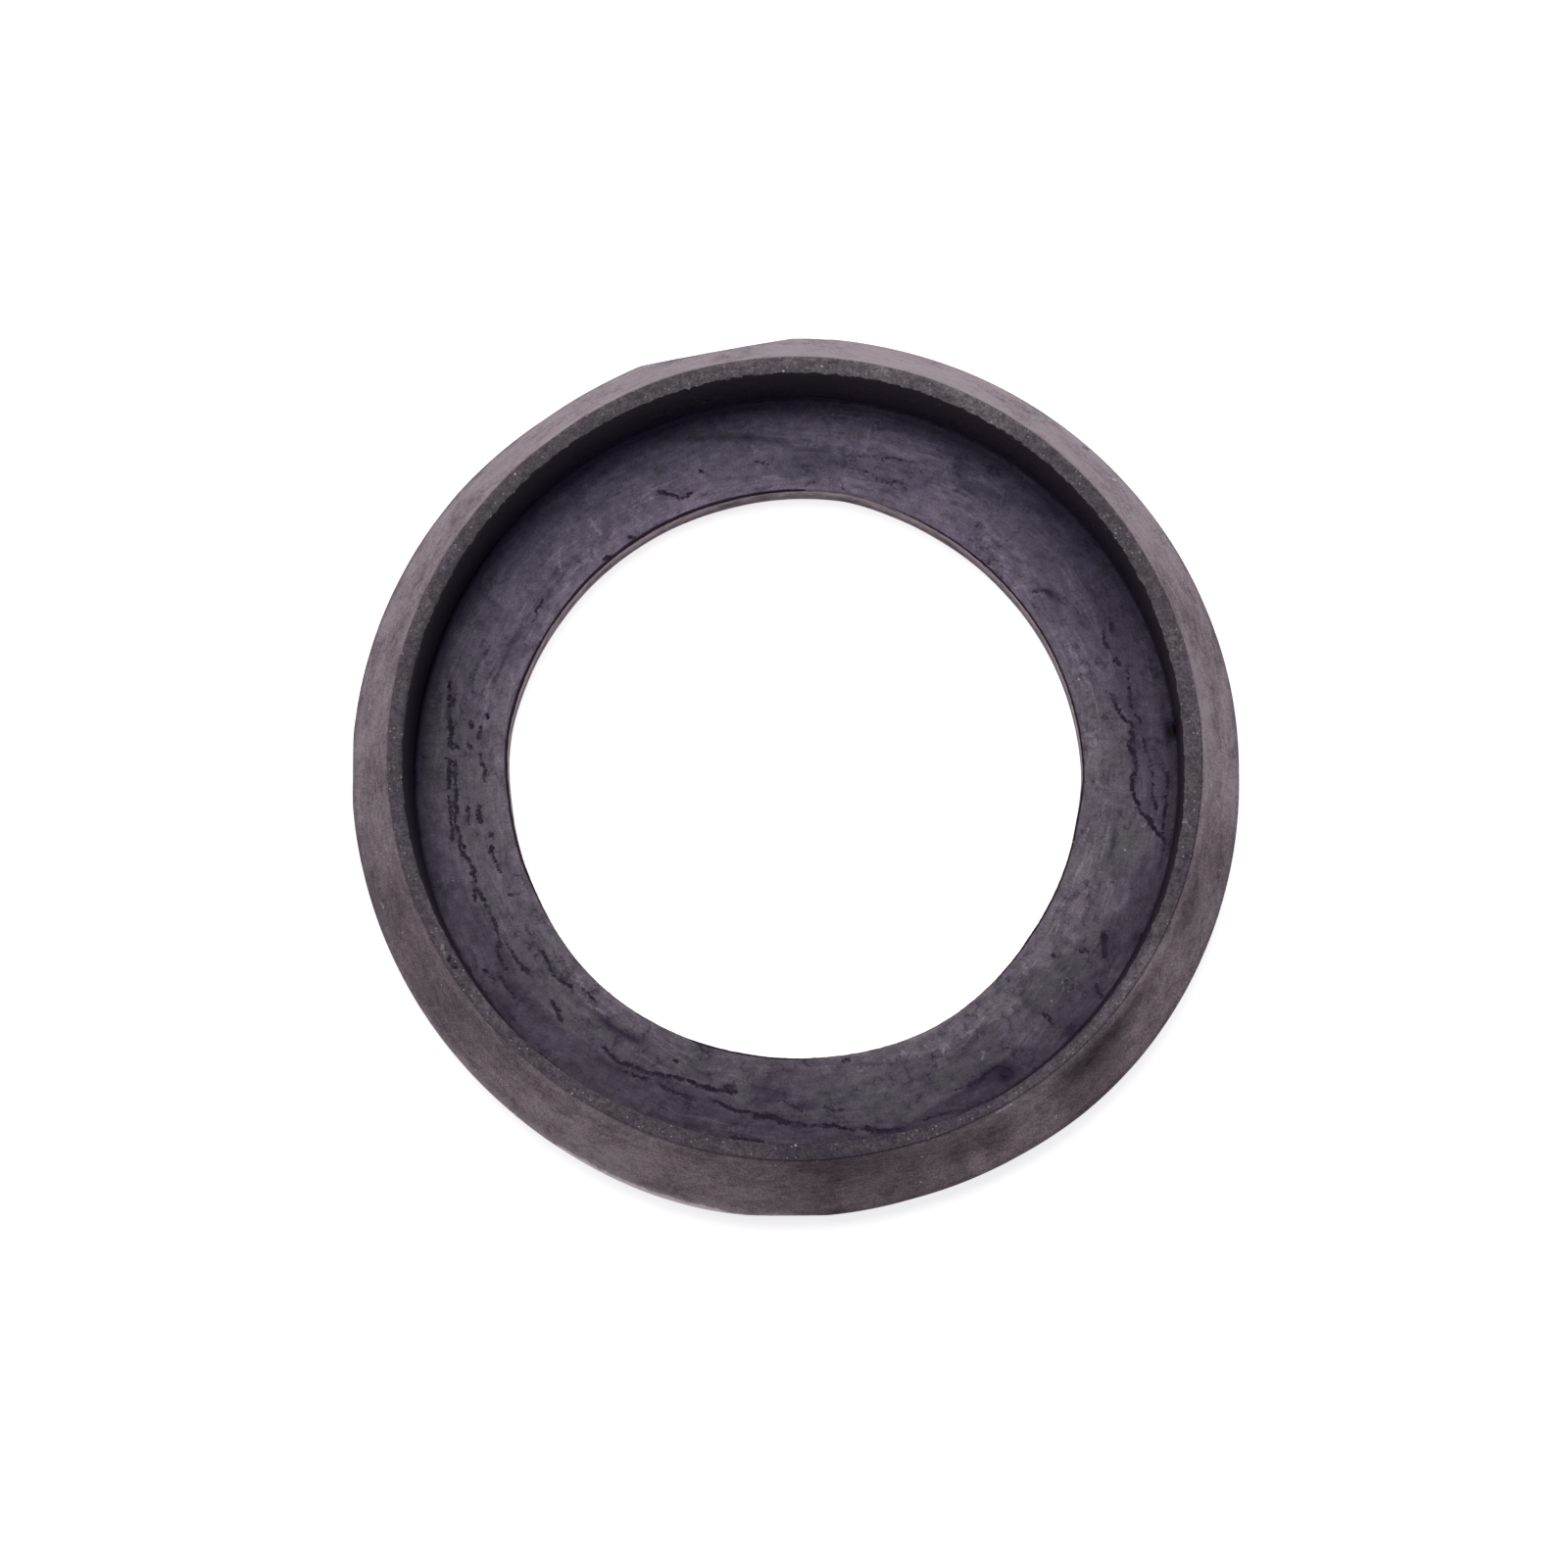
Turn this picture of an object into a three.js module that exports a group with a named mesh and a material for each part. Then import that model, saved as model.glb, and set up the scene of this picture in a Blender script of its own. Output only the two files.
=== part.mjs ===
// Tank to bowl gasket: one moulded rubber ring, recessed on top and bevelled on the outside.
// Millimetres, +Z up. The origin is the centre of the flat underside, on the ring's own axis.
import * as THREE from "three";

// Seat: the flat ring round the bore that the tank's locknut presses on
const BORE_RADIUS = 30.8;
const SEAT_WIDTH = 10.2;
const SEAT_THICKNESS = 4.4;

// Recess: the round pocket above the seat, its wall leaning out a little so that the mould lets go
const RECESS_DEPTH = 11.6;
const RECESS_WALL_LEAN = 0.2;

// Rim: the narrow trimmed land on top of the recess wall
const LAND_WIDTH = 1.85;

// Outside: a long bevel from the rim down to the widest edge, then a short one in to the foot
const BEVEL_RUN = 4.575;
const WIDEST_EDGE_HEIGHT = 4.3;
const FOOT_SETBACK = 3.4;

// Rounds that the mould leaves on each edge
const WIDEST_EDGE_ROUND = 1.2;
const FOOT_EDGE_ROUND = 0.5;
const RIM_OUTER_ROUND = 0.15;
const RIM_INNER_ROUND = 0.12;
const RECESS_CORNER_FILLET = 0.45;
const BORE_TOP_ROUND = 0.3;
const BORE_BOTTOM_ROUND = 0.3;

// Smoothness: flat steps round the ring, and the most that one step of a rounded edge may turn
const RING_STEPS = 128;
const ROUND_STEP_ANGLE = Math.PI / 9;

// Black rubber, greyed by the dry skin that it comes out of the mould with
const RUBBER_COLOUR = 0x4b454c;
const RUBBER_ROUGHNESS = 0.72;

// Heights and radii that follow from the driving dimensions
const RIM_HEIGHT = SEAT_THICKNESS + RECESS_DEPTH;
const RECESS_FLOOR_RADIUS = BORE_RADIUS + SEAT_WIDTH;
const RECESS_MOUTH_RADIUS = RECESS_FLOOR_RADIUS + RECESS_WALL_LEAN;
const RIM_OUTER_RADIUS = RECESS_MOUTH_RADIUS + LAND_WIDTH;
const WIDEST_RADIUS = RIM_OUTER_RADIUS + BEVEL_RUN;
const FOOT_RADIUS = WIDEST_RADIUS - FOOT_SETBACK;

// Direction, seen from a circle's centre, of the point where a line from `outside` touches the circle.
// `side` is +1 for the touching point anticlockwise of `outside` and -1 for the clockwise one.
function tangentDirection(centre, radius, outside, side) {
  const towards = Math.atan2(outside.y - centre.y, outside.x - centre.x);
  return towards + side * Math.acos(radius / centre.distanceTo(outside));
}

// The sharp corner that the widest edge would have without its round.
// The round's circle reaches WIDEST_RADIUS exactly, and both bevels run on as lines that touch it.
function widestCorner(rimCorner, footCorner) {
  const centre = new THREE.Vector2(WIDEST_RADIUS - WIDEST_EDGE_ROUND, WIDEST_EDGE_HEIGHT);
  const upper = tangentDirection(centre, WIDEST_EDGE_ROUND, rimCorner, -1);
  const lower = tangentDirection(centre, WIDEST_EDGE_ROUND, footCorner, 1);
  const middle = (upper + lower) / 2;
  const reach = WIDEST_EDGE_ROUND / Math.cos((upper - lower) / 2);
  return new THREE.Vector2(Math.cos(middle), Math.sin(middle)).multiplyScalar(reach).add(centre);
}

// Points of the arc that rounds one corner between its two straight sides.
// The arc takes at most half of either side.
function roundedCorner(before, corner, after, radius) {
  const back = before.clone().sub(corner);
  const ahead = after.clone().sub(corner);
  const room = Math.min(back.length(), ahead.length()) / 2;
  const halfAngle = back.angleTo(ahead) / 2;
  const setback = Math.min(radius / Math.tan(halfAngle), room);
  const start = back.setLength(setback).add(corner);
  const end = ahead.setLength(setback).add(corner);
  const halfChord = start.clone().add(end).multiplyScalar(0.5).sub(corner);
  const centre = halfChord.setLength(setback / Math.cos(halfAngle)).add(corner);

  const turn = Math.PI - 2 * halfAngle;
  const side = Math.sign(start.clone().sub(centre).cross(end.clone().sub(centre)));
  const steps = Math.ceil(turn / ROUND_STEP_ANGLE);
  const points = [];
  for (let step = 0; step <= steps; step += 1) {
    points.push(start.clone().rotateAround(centre, (side * turn * step) / steps));
  }
  return points;
}

// The ring's section, radius across and height up, anticlockwise from the bottom of the bore
function ringSection() {
  const footCorner = new THREE.Vector2(FOOT_RADIUS, 0);
  const rimCorner = new THREE.Vector2(RIM_OUTER_RADIUS, RIM_HEIGHT);
  const corners = [
    { at: new THREE.Vector2(BORE_RADIUS, 0), round: BORE_BOTTOM_ROUND },
    { at: footCorner, round: FOOT_EDGE_ROUND },
    { at: widestCorner(rimCorner, footCorner), round: WIDEST_EDGE_ROUND },
    { at: rimCorner, round: RIM_OUTER_ROUND },
    { at: new THREE.Vector2(RECESS_MOUTH_RADIUS, RIM_HEIGHT), round: RIM_INNER_ROUND },
    { at: new THREE.Vector2(RECESS_FLOOR_RADIUS, SEAT_THICKNESS), round: RECESS_CORNER_FILLET },
    { at: new THREE.Vector2(BORE_RADIUS, SEAT_THICKNESS), round: BORE_TOP_ROUND },
  ];
  const section = corners.flatMap((corner, index) => {
    const before = corners.at(index - 1).at;
    const after = corners[(index + 1) % corners.length].at;
    return roundedCorner(before, corner.at, after, corner.round);
  });
  section.push(section[0].clone());
  return section;
}

// The whole gasket: the section turned once round the upright axis
function gasketRing() {
  const geometry = new THREE.LatheGeometry(ringSection(), RING_STEPS);
  geometry.rotateX(Math.PI / 2);
  const rubber = new THREE.MeshStandardMaterial({
    color: RUBBER_COLOUR,
    roughness: RUBBER_ROUGHNESS,
    metalness: 0,
  });
  const mesh = new THREE.Mesh(geometry, rubber);
  mesh.name = "gasket_ring";
  return mesh;
}

const gasket = new THREE.Group();
gasket.add(gasketRing());

export default gasket;
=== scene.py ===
"""Finish, camera and light of a tank to bowl gasket: one moulded ring of black rubber.

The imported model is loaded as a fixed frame. Its one piece is replaced by the same ring with the surface of
the real one: flow lines on the seat, a rough trimmed land on the rim, cloudy bevels, uneven edges and dust.

Sizes are millimetres unless a name says otherwise, and MM turns them into Blender's metres. An angle on the
ring is in degrees, anticlockwise from +X as seen from above.
"""

import logging
from dataclasses import dataclass, field
from enum import Enum
from functools import cache
from math import atan2, cos, radians, sin, tan
from typing import Any

import bpy
import numpy as np
from mathutils import Matrix, Vector, noise


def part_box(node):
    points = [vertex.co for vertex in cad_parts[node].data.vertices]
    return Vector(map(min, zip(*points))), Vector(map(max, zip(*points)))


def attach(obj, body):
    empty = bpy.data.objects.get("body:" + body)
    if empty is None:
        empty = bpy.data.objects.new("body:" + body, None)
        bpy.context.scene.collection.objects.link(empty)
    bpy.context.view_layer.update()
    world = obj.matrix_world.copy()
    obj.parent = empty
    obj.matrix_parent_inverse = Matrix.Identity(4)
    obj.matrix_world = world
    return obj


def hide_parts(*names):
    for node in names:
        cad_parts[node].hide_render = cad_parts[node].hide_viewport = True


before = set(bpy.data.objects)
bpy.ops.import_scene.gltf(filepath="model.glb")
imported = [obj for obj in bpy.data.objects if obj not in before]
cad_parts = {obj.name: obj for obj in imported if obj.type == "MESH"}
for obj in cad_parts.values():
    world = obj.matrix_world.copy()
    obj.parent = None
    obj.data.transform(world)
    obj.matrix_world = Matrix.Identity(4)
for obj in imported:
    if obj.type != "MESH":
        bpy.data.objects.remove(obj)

MM = 0.001
NOISE_SEED = 1
VECTOR = "NodeSocketVector"
NUMBER = "NodeSocketFloat"
SEEN_RAYS = ("Is Camera Ray", "Is Glossy Ray", "Is Transmission Ray")
log = logging.getLogger("gasket")

Colour = tuple[float, float, float]
RingPoint = tuple[float, float]


class Zone(Enum):
    """Surfaces of the ring, in the order of its material slots."""

    BEVEL = 0
    LAND = 1
    WALL = 2
    SEAT = 3
    BORE = 4
    UNDERSIDE = 5


@dataclass(frozen=True)
class Corner:
    """A corner of the ring's section, with the round that the mould gives it.

    `zone` is the surface on the side that runs from this corner to the next one, and `cuts` is how many
    times that side is subdivided.
    """

    radius: float
    height: float
    round: float
    segments: int
    zone: Zone
    cuts: int


@dataclass
class RingSection:
    """The ring's section, worked out from the frame's widest radius and rim height."""

    widest_radius: float
    rim_height: float
    seat_thickness: float = 4.4
    seat_width: float = 10.2
    wall_lean: float = 0.2
    land_width: float = 1.85
    bevel_run: float = 4.575
    widest_edge_height: float = 4.3
    foot_setback: float = 3.4
    widest_edge_round: float = 1.2
    foot_edge_round: float = 0.5
    rim_outer_round: float = 0.15
    rim_inner_round: float = 0.12
    recess_corner_fillet: float = 0.45
    bore_round: float = 0.3

    @property
    def rim_outer_radius(self) -> float:
        """Radius at which the land meets the bevel."""
        return self.widest_radius - self.bevel_run

    @property
    def mouth_radius(self) -> float:
        """Radius of the recess at the rim."""
        return self.rim_outer_radius - self.land_width

    @property
    def floor_radius(self) -> float:
        """Radius of the recess at the seat."""
        return self.mouth_radius - self.wall_lean

    @property
    def bore_radius(self) -> float:
        """Radius of the bore."""
        return self.floor_radius - self.seat_width

    @property
    def foot_radius(self) -> float:
        """Radius of the flat underside."""
        return self.widest_radius - self.foot_setback

    def widest_corner(self) -> RingPoint:
        """Find the sharp corner that the widest edge would have without its round.

        Returns:
            Radius and height of the corner.
        """
        centre = (self.widest_radius - self.widest_edge_round, self.widest_edge_height)
        upper = self._touching_direction(centre, (self.rim_outer_radius, self.rim_height), -1)
        lower = self._touching_direction(centre, (self.foot_radius, 0.0), 1)
        middle = (upper + lower) / 2
        reach = self.widest_edge_round / cos((upper - lower) / 2)
        return centre[0] + reach * cos(middle), centre[1] + reach * sin(middle)

    def _touching_direction(self, centre: RingPoint, outside: RingPoint, side: int) -> float:
        """Find where a line from `outside` touches the round of the widest edge.

        Args:
            centre: Middle of the round.
            outside: Point that the line comes from.
            side: +1 for the touching point anticlockwise of `outside`, -1 for the clockwise one.

        Returns:
            Direction of the touching point from the middle of the round, in radians.
        """
        across = outside[0] - centre[0]
        up = outside[1] - centre[1]
        distance = (across**2 + up**2) ** 0.5
        return atan2(up, across) + side * np.arccos(self.widest_edge_round / distance)

    def corners(self) -> list[Corner]:
        """List the section's corners, anticlockwise from the bottom of the bore.

        Returns:
            The corners, each with its round and the surface that follows it.
        """
        widest = self.widest_corner()
        top = self.rim_height
        seat = self.seat_thickness
        return [
            Corner(self.bore_radius, 0.0, self.bore_round, 3, Zone.UNDERSIDE, 3),
            Corner(self.foot_radius, 0.0, self.foot_edge_round, 3, Zone.BEVEL, 4),
            Corner(*widest, self.widest_edge_round, 6, Zone.BEVEL, 24),
            Corner(self.rim_outer_radius, top, self.rim_outer_round, 3, Zone.LAND, 8),
            Corner(self.mouth_radius, top, self.rim_inner_round, 2, Zone.WALL, 12),
            Corner(self.floor_radius, seat, self.recess_corner_fillet, 3, Zone.SEAT, 44),
            Corner(self.bore_radius, seat, self.bore_round, 3, Zone.BORE, 8),
        ]

    def sides(self) -> list[tuple[Corner, Corner]]:
        """Pair every corner with the next one, back to the first."""
        corners = self.corners()
        return list(zip(corners, corners[1:] + corners[:1]))


@dataclass(frozen=True)
class FlowLine:
    """A line that the flowing rubber left on the skin, through points of angle and radius."""

    width: float
    path: tuple[RingPoint, ...]


@dataclass(frozen=True)
class Patch:
    """A soft patch of tone, round a point of angle and radius.

    `along` and `across` are its half lengths round the ring and out from the axis. `strength` is positive
    where the patch is paler than the skin round it, and negative where it is darker. Small patches are
    smudges in the skin itself; broad ones are painted light and shade.
    """

    angle: float
    radius: float
    along: float
    across: float
    strength: float


def flow_lines(*rows: tuple[float, ...]) -> tuple[FlowLine, ...]:
    """Make flow lines from rows of a width and then the angle and radius of each point in turn."""
    return tuple(FlowLine(width, tuple(zip(points[::2], points[1::2]))) for width, *points in rows)


def soft_patches(*rows: tuple[float, ...]) -> tuple[Patch, ...]:
    """Make patches from rows of angle, radius, both half lengths and strength."""
    return tuple(Patch(*row) for row in rows)


# Dark flow lines; their dark colour is partly the lines' own and partly painted shade in their shallow
# grooves.
CREASES = flow_lines(
    (0.75, -56.2, 38.6, -55.7, 38.9, -55.3, 39.4, -55.1, 39.7), (0.2, -56.4, 40.6, -56, 40.1, -55.5, 39.8),
    (0.12, -64, 38.2, -62.5, 38.4, -59.7, 38.8, -57.5, 38.4, -56.3, 38.4),
    (0.2, -70, 39.9, -66.5, 40.1, -62.8, 40.7, -60, 40.9),
    (0.46, -10.5, 40.2, -9.7, 39.3, -8.9, 38.7, -7.9, 38.3, -7.2, 37.7),
    (0.35, -7.2, 37.7, -6.8, 37.2, -5.6, 36.9, -4.2, 36.4, -2.9, 36.1, -1.4, 36.1),
    (0.32, -1.4, 36.1, 0, 36.4, 0.9, 36.6, 1.5, 36.3, 2.3, 36.5, 3.2, 36.4),
    (0.46, 3.2, 36.4, 3.8, 36.1, 4.5, 35.9, 5.2, 35.9, 5.6, 36.4, 6.2, 36.5),
    (0.3, 6.2, 36.5, 6.9, 36.2, 7.8, 36.6, 8.5, 36.3, 9, 35.8, 10.2, 35.5),
    (0.32, 10.2, 35.5, 11.2, 35.3, 12, 35.1, 13, 35.1),
    (0.18, 8.2, 37.5, 9.2, 37.2, 10.3, 36.8, 12, 36.8, 14.5, 37, 17.8, 37.4),
    (0.46, 18.8, 36.8, 19.6, 36.5), (0.19, 21.8, 36.2, 23.6, 36.2, 24.8, 36.5, 25.2, 36.9),
    (0.3, 23.8, 37.4, 25.6, 37.7), (0.08, -1, 38.3, 1.6, 38, 3.2, 37.8, 6, 37.5),
    (0.05, 70, 36.3, 72.4, 36.1, 74.4, 35.8, 75.2, 35.1), (0.16, 86.4, 31.8, 87.4, 31.7, 88.2, 31.3),
    (0.32, 107, 34.7, 107.4, 34.7), (0.3, 110.3, 32.7, 111.8, 32.7, 113, 32.9, 114, 33.4, 115.6, 34.2),
    (0.22, 145.4, 33.2, 146.8, 33.2, 148, 33.1), (0.49, 171.4, 35.4, 171.7, 35.2),
    (0.49, 175, 35.3, 175.4, 35.1), (0.3, 171.4, 34.2, 173.8, 34.2),
    (0.27, 176.4, 33.9, 177.8, 33.7, 179.4, 33.4, 181.4, 33.4),
    (0.35, 172.6, 37.4, 174.9, 37.4, 175.7, 36.9, 175.8, 36.4), (0.35, 178, 37.2, 180, 37.3, 182.6, 37.3),
    (0.32, -181.8, 36.6, -178, 36.6, -176.2, 36.5, -175, 36.8, -173.6, 36.7),
    (0.27, -173.6, 36.7, -171.6, 37, -169.8, 36.7, -168.4, 36.7, -167.2, 37),
    (0.38, -168.4, 36.9, -167.4, 36.5, -166.2, 36.8, -165.2, 36.4, -164.3, 36.3),
    (0.43, -163.4, 36.1, -162.6, 36.4, -161.8, 36.2, -160.6, 36.6),
    (0.3, -160.6, 36.6, -159, 36.3, -157, 36.2, -155.4, 36.1, -153, 36.2),
    (0.27, -153, 36.2, -151, 36.4, -149.9, 36.6, -149.2, 37),
    (0.24, -149.4, 36.2, -148.4, 36, -146.4, 36.2, -143, 36), (0.41, -174, 34.3, -171, 34.4),
    (0.46, -168.5, 33.3, -168, 33.4), (0.24, -165.8, 33.8, -163.5, 33.6, -160.8, 33.5),
    (0.19, -156.8, 33.6, -156.3, 33.2, -156.1, 32.8),
    (0.3, -125.2, 36.1, -123.4, 36.3, -121.4, 36.6, -119.8, 36.3, -117.8, 36.1),
    (0.35, -117.8, 36.1, -115.8, 36, -113.8, 35.7, -111.8, 35.4, -109.6, 35.2),
    (0.35, -109.6, 35.2, -107.6, 35.3, -105.8, 35.4, -104, 35.3, -100.6, 35.1),
    (0.57, -102.3, 34.8, -101.6, 34.7), (0.22, -119.6, 37.1, -117.2, 36.9, -115.4, 36.7),
    (0.24, -113.4, 36.7, -110, 36.8, -107, 36.9), (0.38, -112.5, 33.6, -112.1, 33.6),
    (0.46, -96.8, 37.3, -94.2, 37.2, -93.2, 37.4, -92.4, 37.7, -90, 37.9),
    (0.35, -90, 37.9, -87.2, 38.2, -84.2, 38.3, -82, 38.8, -79.2, 39.1),
    (0.49, -79.2, 39.1, -77.2, 39.7, -75.6, 40, -73.6, 40.1), (0.24, -85.2, 36.2, -83.6, 36.6, -82, 36.7),
    (0.32, -36.1, 34.1, -35.9, 33.9), (0.08, 75.3, 35.9, 78.5, 35.4, 81, 35.2, 81.8, 35.1),
    (0.08, 70, 33.8, 71.5, 33.7, 72.5, 33.4, 75, 33.3, 76, 33.6, 77, 33.9, 78, 33.7),
    (0.05, 80, 31.2, 81, 31.5, 81.3, 32), (0.08, 95, 34, 97.6, 34.5), (0.5, 130.4, 31.2, 131.4, 31.2),
    (0.25, 124.3, 31.3, 124.8, 31.6, 125.2, 31.4), (0.3, 113.5, 33.2, 114.5, 33.8, 115.6, 34.3),
    (0.25, 165, 38.6, 168, 38.2, 170, 38, 172, 37.6), (0.25, 167.5, 38.2, 167.8, 37.7),
    (0.25, 168.3, 38.2, 168.4, 37.7), (0.4, 172.5, 37.7, 173.5, 37.3, 175, 37.5, 175.3, 36.5, 175.9, 37),
    (0.35, 177.5, 37.6, 178.2, 37.2, 179, 37.4, 180, 37.1), (0.25, 184, 37.3, 188, 37.4, 191, 37.6),
    (0.35, 169, 33.7, 170, 33.6), (0.25, -174, 35.4, -171, 35.7), (0.4, -166.2, 33.6, -165.2, 33.9),
    (0.3, -158, 37, -160, 36.8), (0.3, -150, 36.8, -149, 37.2, -148, 37.4, -147, 37.7, -145.5, 37.6),
    (0.25, -145, 38.6, -141, 38.7), (0.3, -133, 36.8, -134.5, 36.2, -136.5, 36),
    (0.25, -144.5, 33.2, -142, 33.6, -140, 33.9, -138, 33.7, -136, 33.3), (0.3, -134, 32.5, -131, 32.6),
    (0.4, -147.3, 39.6, -146.8, 39.5), (0.25, -104.5, 36.5, -102, 36.7, -100, 37, -97, 37),
    (0.05, -93.5, 35.3, -92, 35.6, -90, 36.2, -89, 36.6, -88.5, 37), (0.25, -100, 40, -97, 39.9, -95, 40),
    (0.3, -80.8, 31.4, -79.6, 31.5), (0.3, -31.3, 37.4, -32.2, 36.6, -32.6, 36),
    (0.35, -36.8, 40.8, -36.3, 40, -35.8, 39.5), (0.5, -31.2, 38.6, -29.5, 37.8, -28, 37.3),
    (0.25, -10, 39.9, -6, 39.8, -2, 40, 0, 39.9), (0.22, -6, 38.9, -4.5, 38.3, -2, 38.3),
    (0.3, 35.5, 33.9, 37, 33.3, 37.5, 32.7), (0.3, -44.8, 38.6, -44.6, 37.2),
    (0.55, -149.2, 42.1, -147.7, 42.1), (0.5, 48.2, 46.9, 48.6, 47),
)

TRAILS = flow_lines(
    (0.55, -1.5, 36.5, 1, 36.5, 4, 36.3, 7, 36.4),
    (0.8, 45, 39.8, 48, 38.7, 52, 37.8, 57, 37, 60, 36.4, 62.2, 37.5),
    (0.45, 78, 33.9, 83, 34.2, 86, 33.7, 90, 33.5),
    (0.5, 84.5, 35.4, 90, 35.7, 92, 36.3, 95, 36.6, 98, 37.2),
    (0.45, 98, 37.2, 101, 37.5, 104, 37.9, 107.5, 38.3), (0.45, 124.5, 33.6, 128.5, 33.5),
    (0.45, 135, 33.5, 141, 33.5, 146, 33.3), (0.4, 152.5, 33.5, 156, 33.6, 163, 33.9),
    (0.5, 164.5, 38.5, 168, 38.1, 170, 37.9, 172.5, 37.3),
    (0.6, -149.2, 37, -147.5, 37.5, -146, 38.1, -143, 38.5, -140, 38.6),
    (0.5, -145, 33.6, -140, 33.6, -136, 33.4), (0.55, -131, 33.5, -128, 33.8, -124.5, 33.7, -119, 33.3),
    (0.5, -124.5, 37.4, -121.5, 37.3, -119.6, 37.1), (0.6, -97.5, 34.2, -95, 34.5, -92, 34.8),
    (0.45, -91.5, 36, -87, 36.2), (0.5, -36.7, 41, -36.2, 39.6), (0.3, -16.6, 34.6, -14, 34.9, -11, 35),
    (0.3, 34.4, 33.9, 35.8, 33.7, 37.4, 33.1),
    (0.3, 140, 34.1, 143, 34, 147, 33.7, 152, 33.7, 158, 33.8, 163, 33.8),
    (0.5, -143, 38, -138, 38, -133, 37.8), (0.4, -128, 33.6, -124, 33.6, -120, 33.6),
    (0.35, -66, 39, -62, 38.9, -58, 38.4, -56, 38.2),
    (0.4, 85.3, 35.4, 88, 35.4, 89.6, 35.5, 93, 36.5, 98, 37.2, 104, 38),
    (0.5, 32, 33.5, 33.5, 34, 35.5, 33.9), (0.25, -15, 34.9, -13, 34.9, -10, 34.6),
    (0.4, 46.8, 33.8, 48, 33.5, 49.2, 33.4), (0.35, 43, 33.9, 44.5, 33.4, 45.3, 33.2),
    (0.35, 41.2, 32.7, 41.8, 32.4), (0.35, 57.2, 34.9, 57.6, 34.5),
    (0.3, 65.2, 36.4, 65.6, 35.2, 66.2, 34.4, 68.4, 33.8, 71.4, 33.6, 76.8, 33.8),
    (0.3, 66, 36.6, 70, 36.3, 75, 35.8, 81.5, 35.2, 81.8, 36), (0.8, 82, 34.6, 86, 34.6, 89, 34.3, 92, 34),
    (0.35, 106, 36.4, 105.8, 37.2, 105.4, 38, 107, 38.4, 110.5, 39),
    (0.5, -45.5, 36.2, -45, 33.8, -43, 33.2, -41, 33.4), (0.5, -97.5, 35.8, -94, 35.6),
    (0.45, -113, 39.9, -108, 40, -104, 39.6, -101, 40.2), (0.4, -110, 33.2, -108, 33.8, -106, 33.9),
)

# Pale scratches and flecks; the lines at radius 47.6 from -131 to -94 degrees paint a highlight along the
# widest edge.
SCRATCHES_AND_GLINT = flow_lines(
    (0.2, 77.8, 38, 78, 37, 78.2, 36.2), (0.3, 128.6, 35.8, 128.8, 34.6, 129, 33.6),
    (0.2, 122, 34.2, 122.4, 33.4), (0.2, 131, 36.4, 133, 36.2), (0.2, 96.4, 35.7, 97.2, 35.4, 97.6, 36.2),
    (0.2, 131.5, 33.6, 133, 32.9, 134.6, 33.4), (0.2, 136.5, 35.2, 138, 34.4, 139, 33.6),
    (0.18, -134, 33.3, -131, 33.3, -129, 33, -128, 33), (0.16, -15.5, 34, -13, 34.1, -9, 34.2),
    (0.16, 5.2, 32.5, 6.8, 32.2), (0.16, 5.2, 32, 6.8, 31.8, 7.6, 32), (0.18, -13.5, 31.9, -11, 32.2),
    (0.18, -9, 37.7, -7.6, 38.3, -6.9, 38.5), (-0.08, -39.5, 37.6, -37.6, 36.9),
    (-0.04, -39.8, 37, -37.8, 36.1), (-0.12, -38.4, 38, -36.4, 37.2), (-0.1, -38, 36.2, -36.6, 35.6),
    (0.16, -62.6, 34, -61.4, 33.1), (0.16, -57.4, 36.8, -56.6, 36.2), (0.16, -24, 37.8, -23.2, 37.1),
    (0.16, -9.6, 41.35, -10.1, 41.8, -10.7, 42.2), (0.14, -9.7, 41.35, -11.4, 41.4),
    (0.08, -162.1, 46.6, -161, 46.4), (0.1, -61.3, 43.2, -58.6, 43.25),
    (-0.12, -64.8, 43.9, -63.2, 45.3, -62.6, 46, -60.4, 45.6),
    (-0.12, -59.6, 44.8, -59.5, 46.1, -58.2, 46.3), (-0.14, -52.6, 43.5, -53, 44.8, -52.4, 45.4),
    (0.08, -57.9, 44, -57.8, 44), (0.08, -48.8, 45.6, -48.7, 45.6), (-0.02, -8, 41.3, -5, 41.15, -2, 41.1),
    (0.3, 42.3, 46.6, 42.7, 46.5), (0.25, -151.6, 42.2, -150, 42.4),
    # Painted highlight along the widest edge
    (-0.05, -131, 47.6, -127, 47.6, -122, 47.6), (0.3, -122, 47.6, -118, 47.6, -113, 47.6),
    (0.45, -114, 47.6, -109, 47.6, -104, 47.6, -100, 47.6), (0.1, -101, 47.6, -97, 47.6),
    (-0.1, -98, 47.6, -94, 47.6),
)

# Smudges in the skin, and broad patches of painted light and shade: the far sides of the seat and bevel
# lighter, their near sides darker, the recess wall darker on the left, a highlight on the edge near 45.
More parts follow.
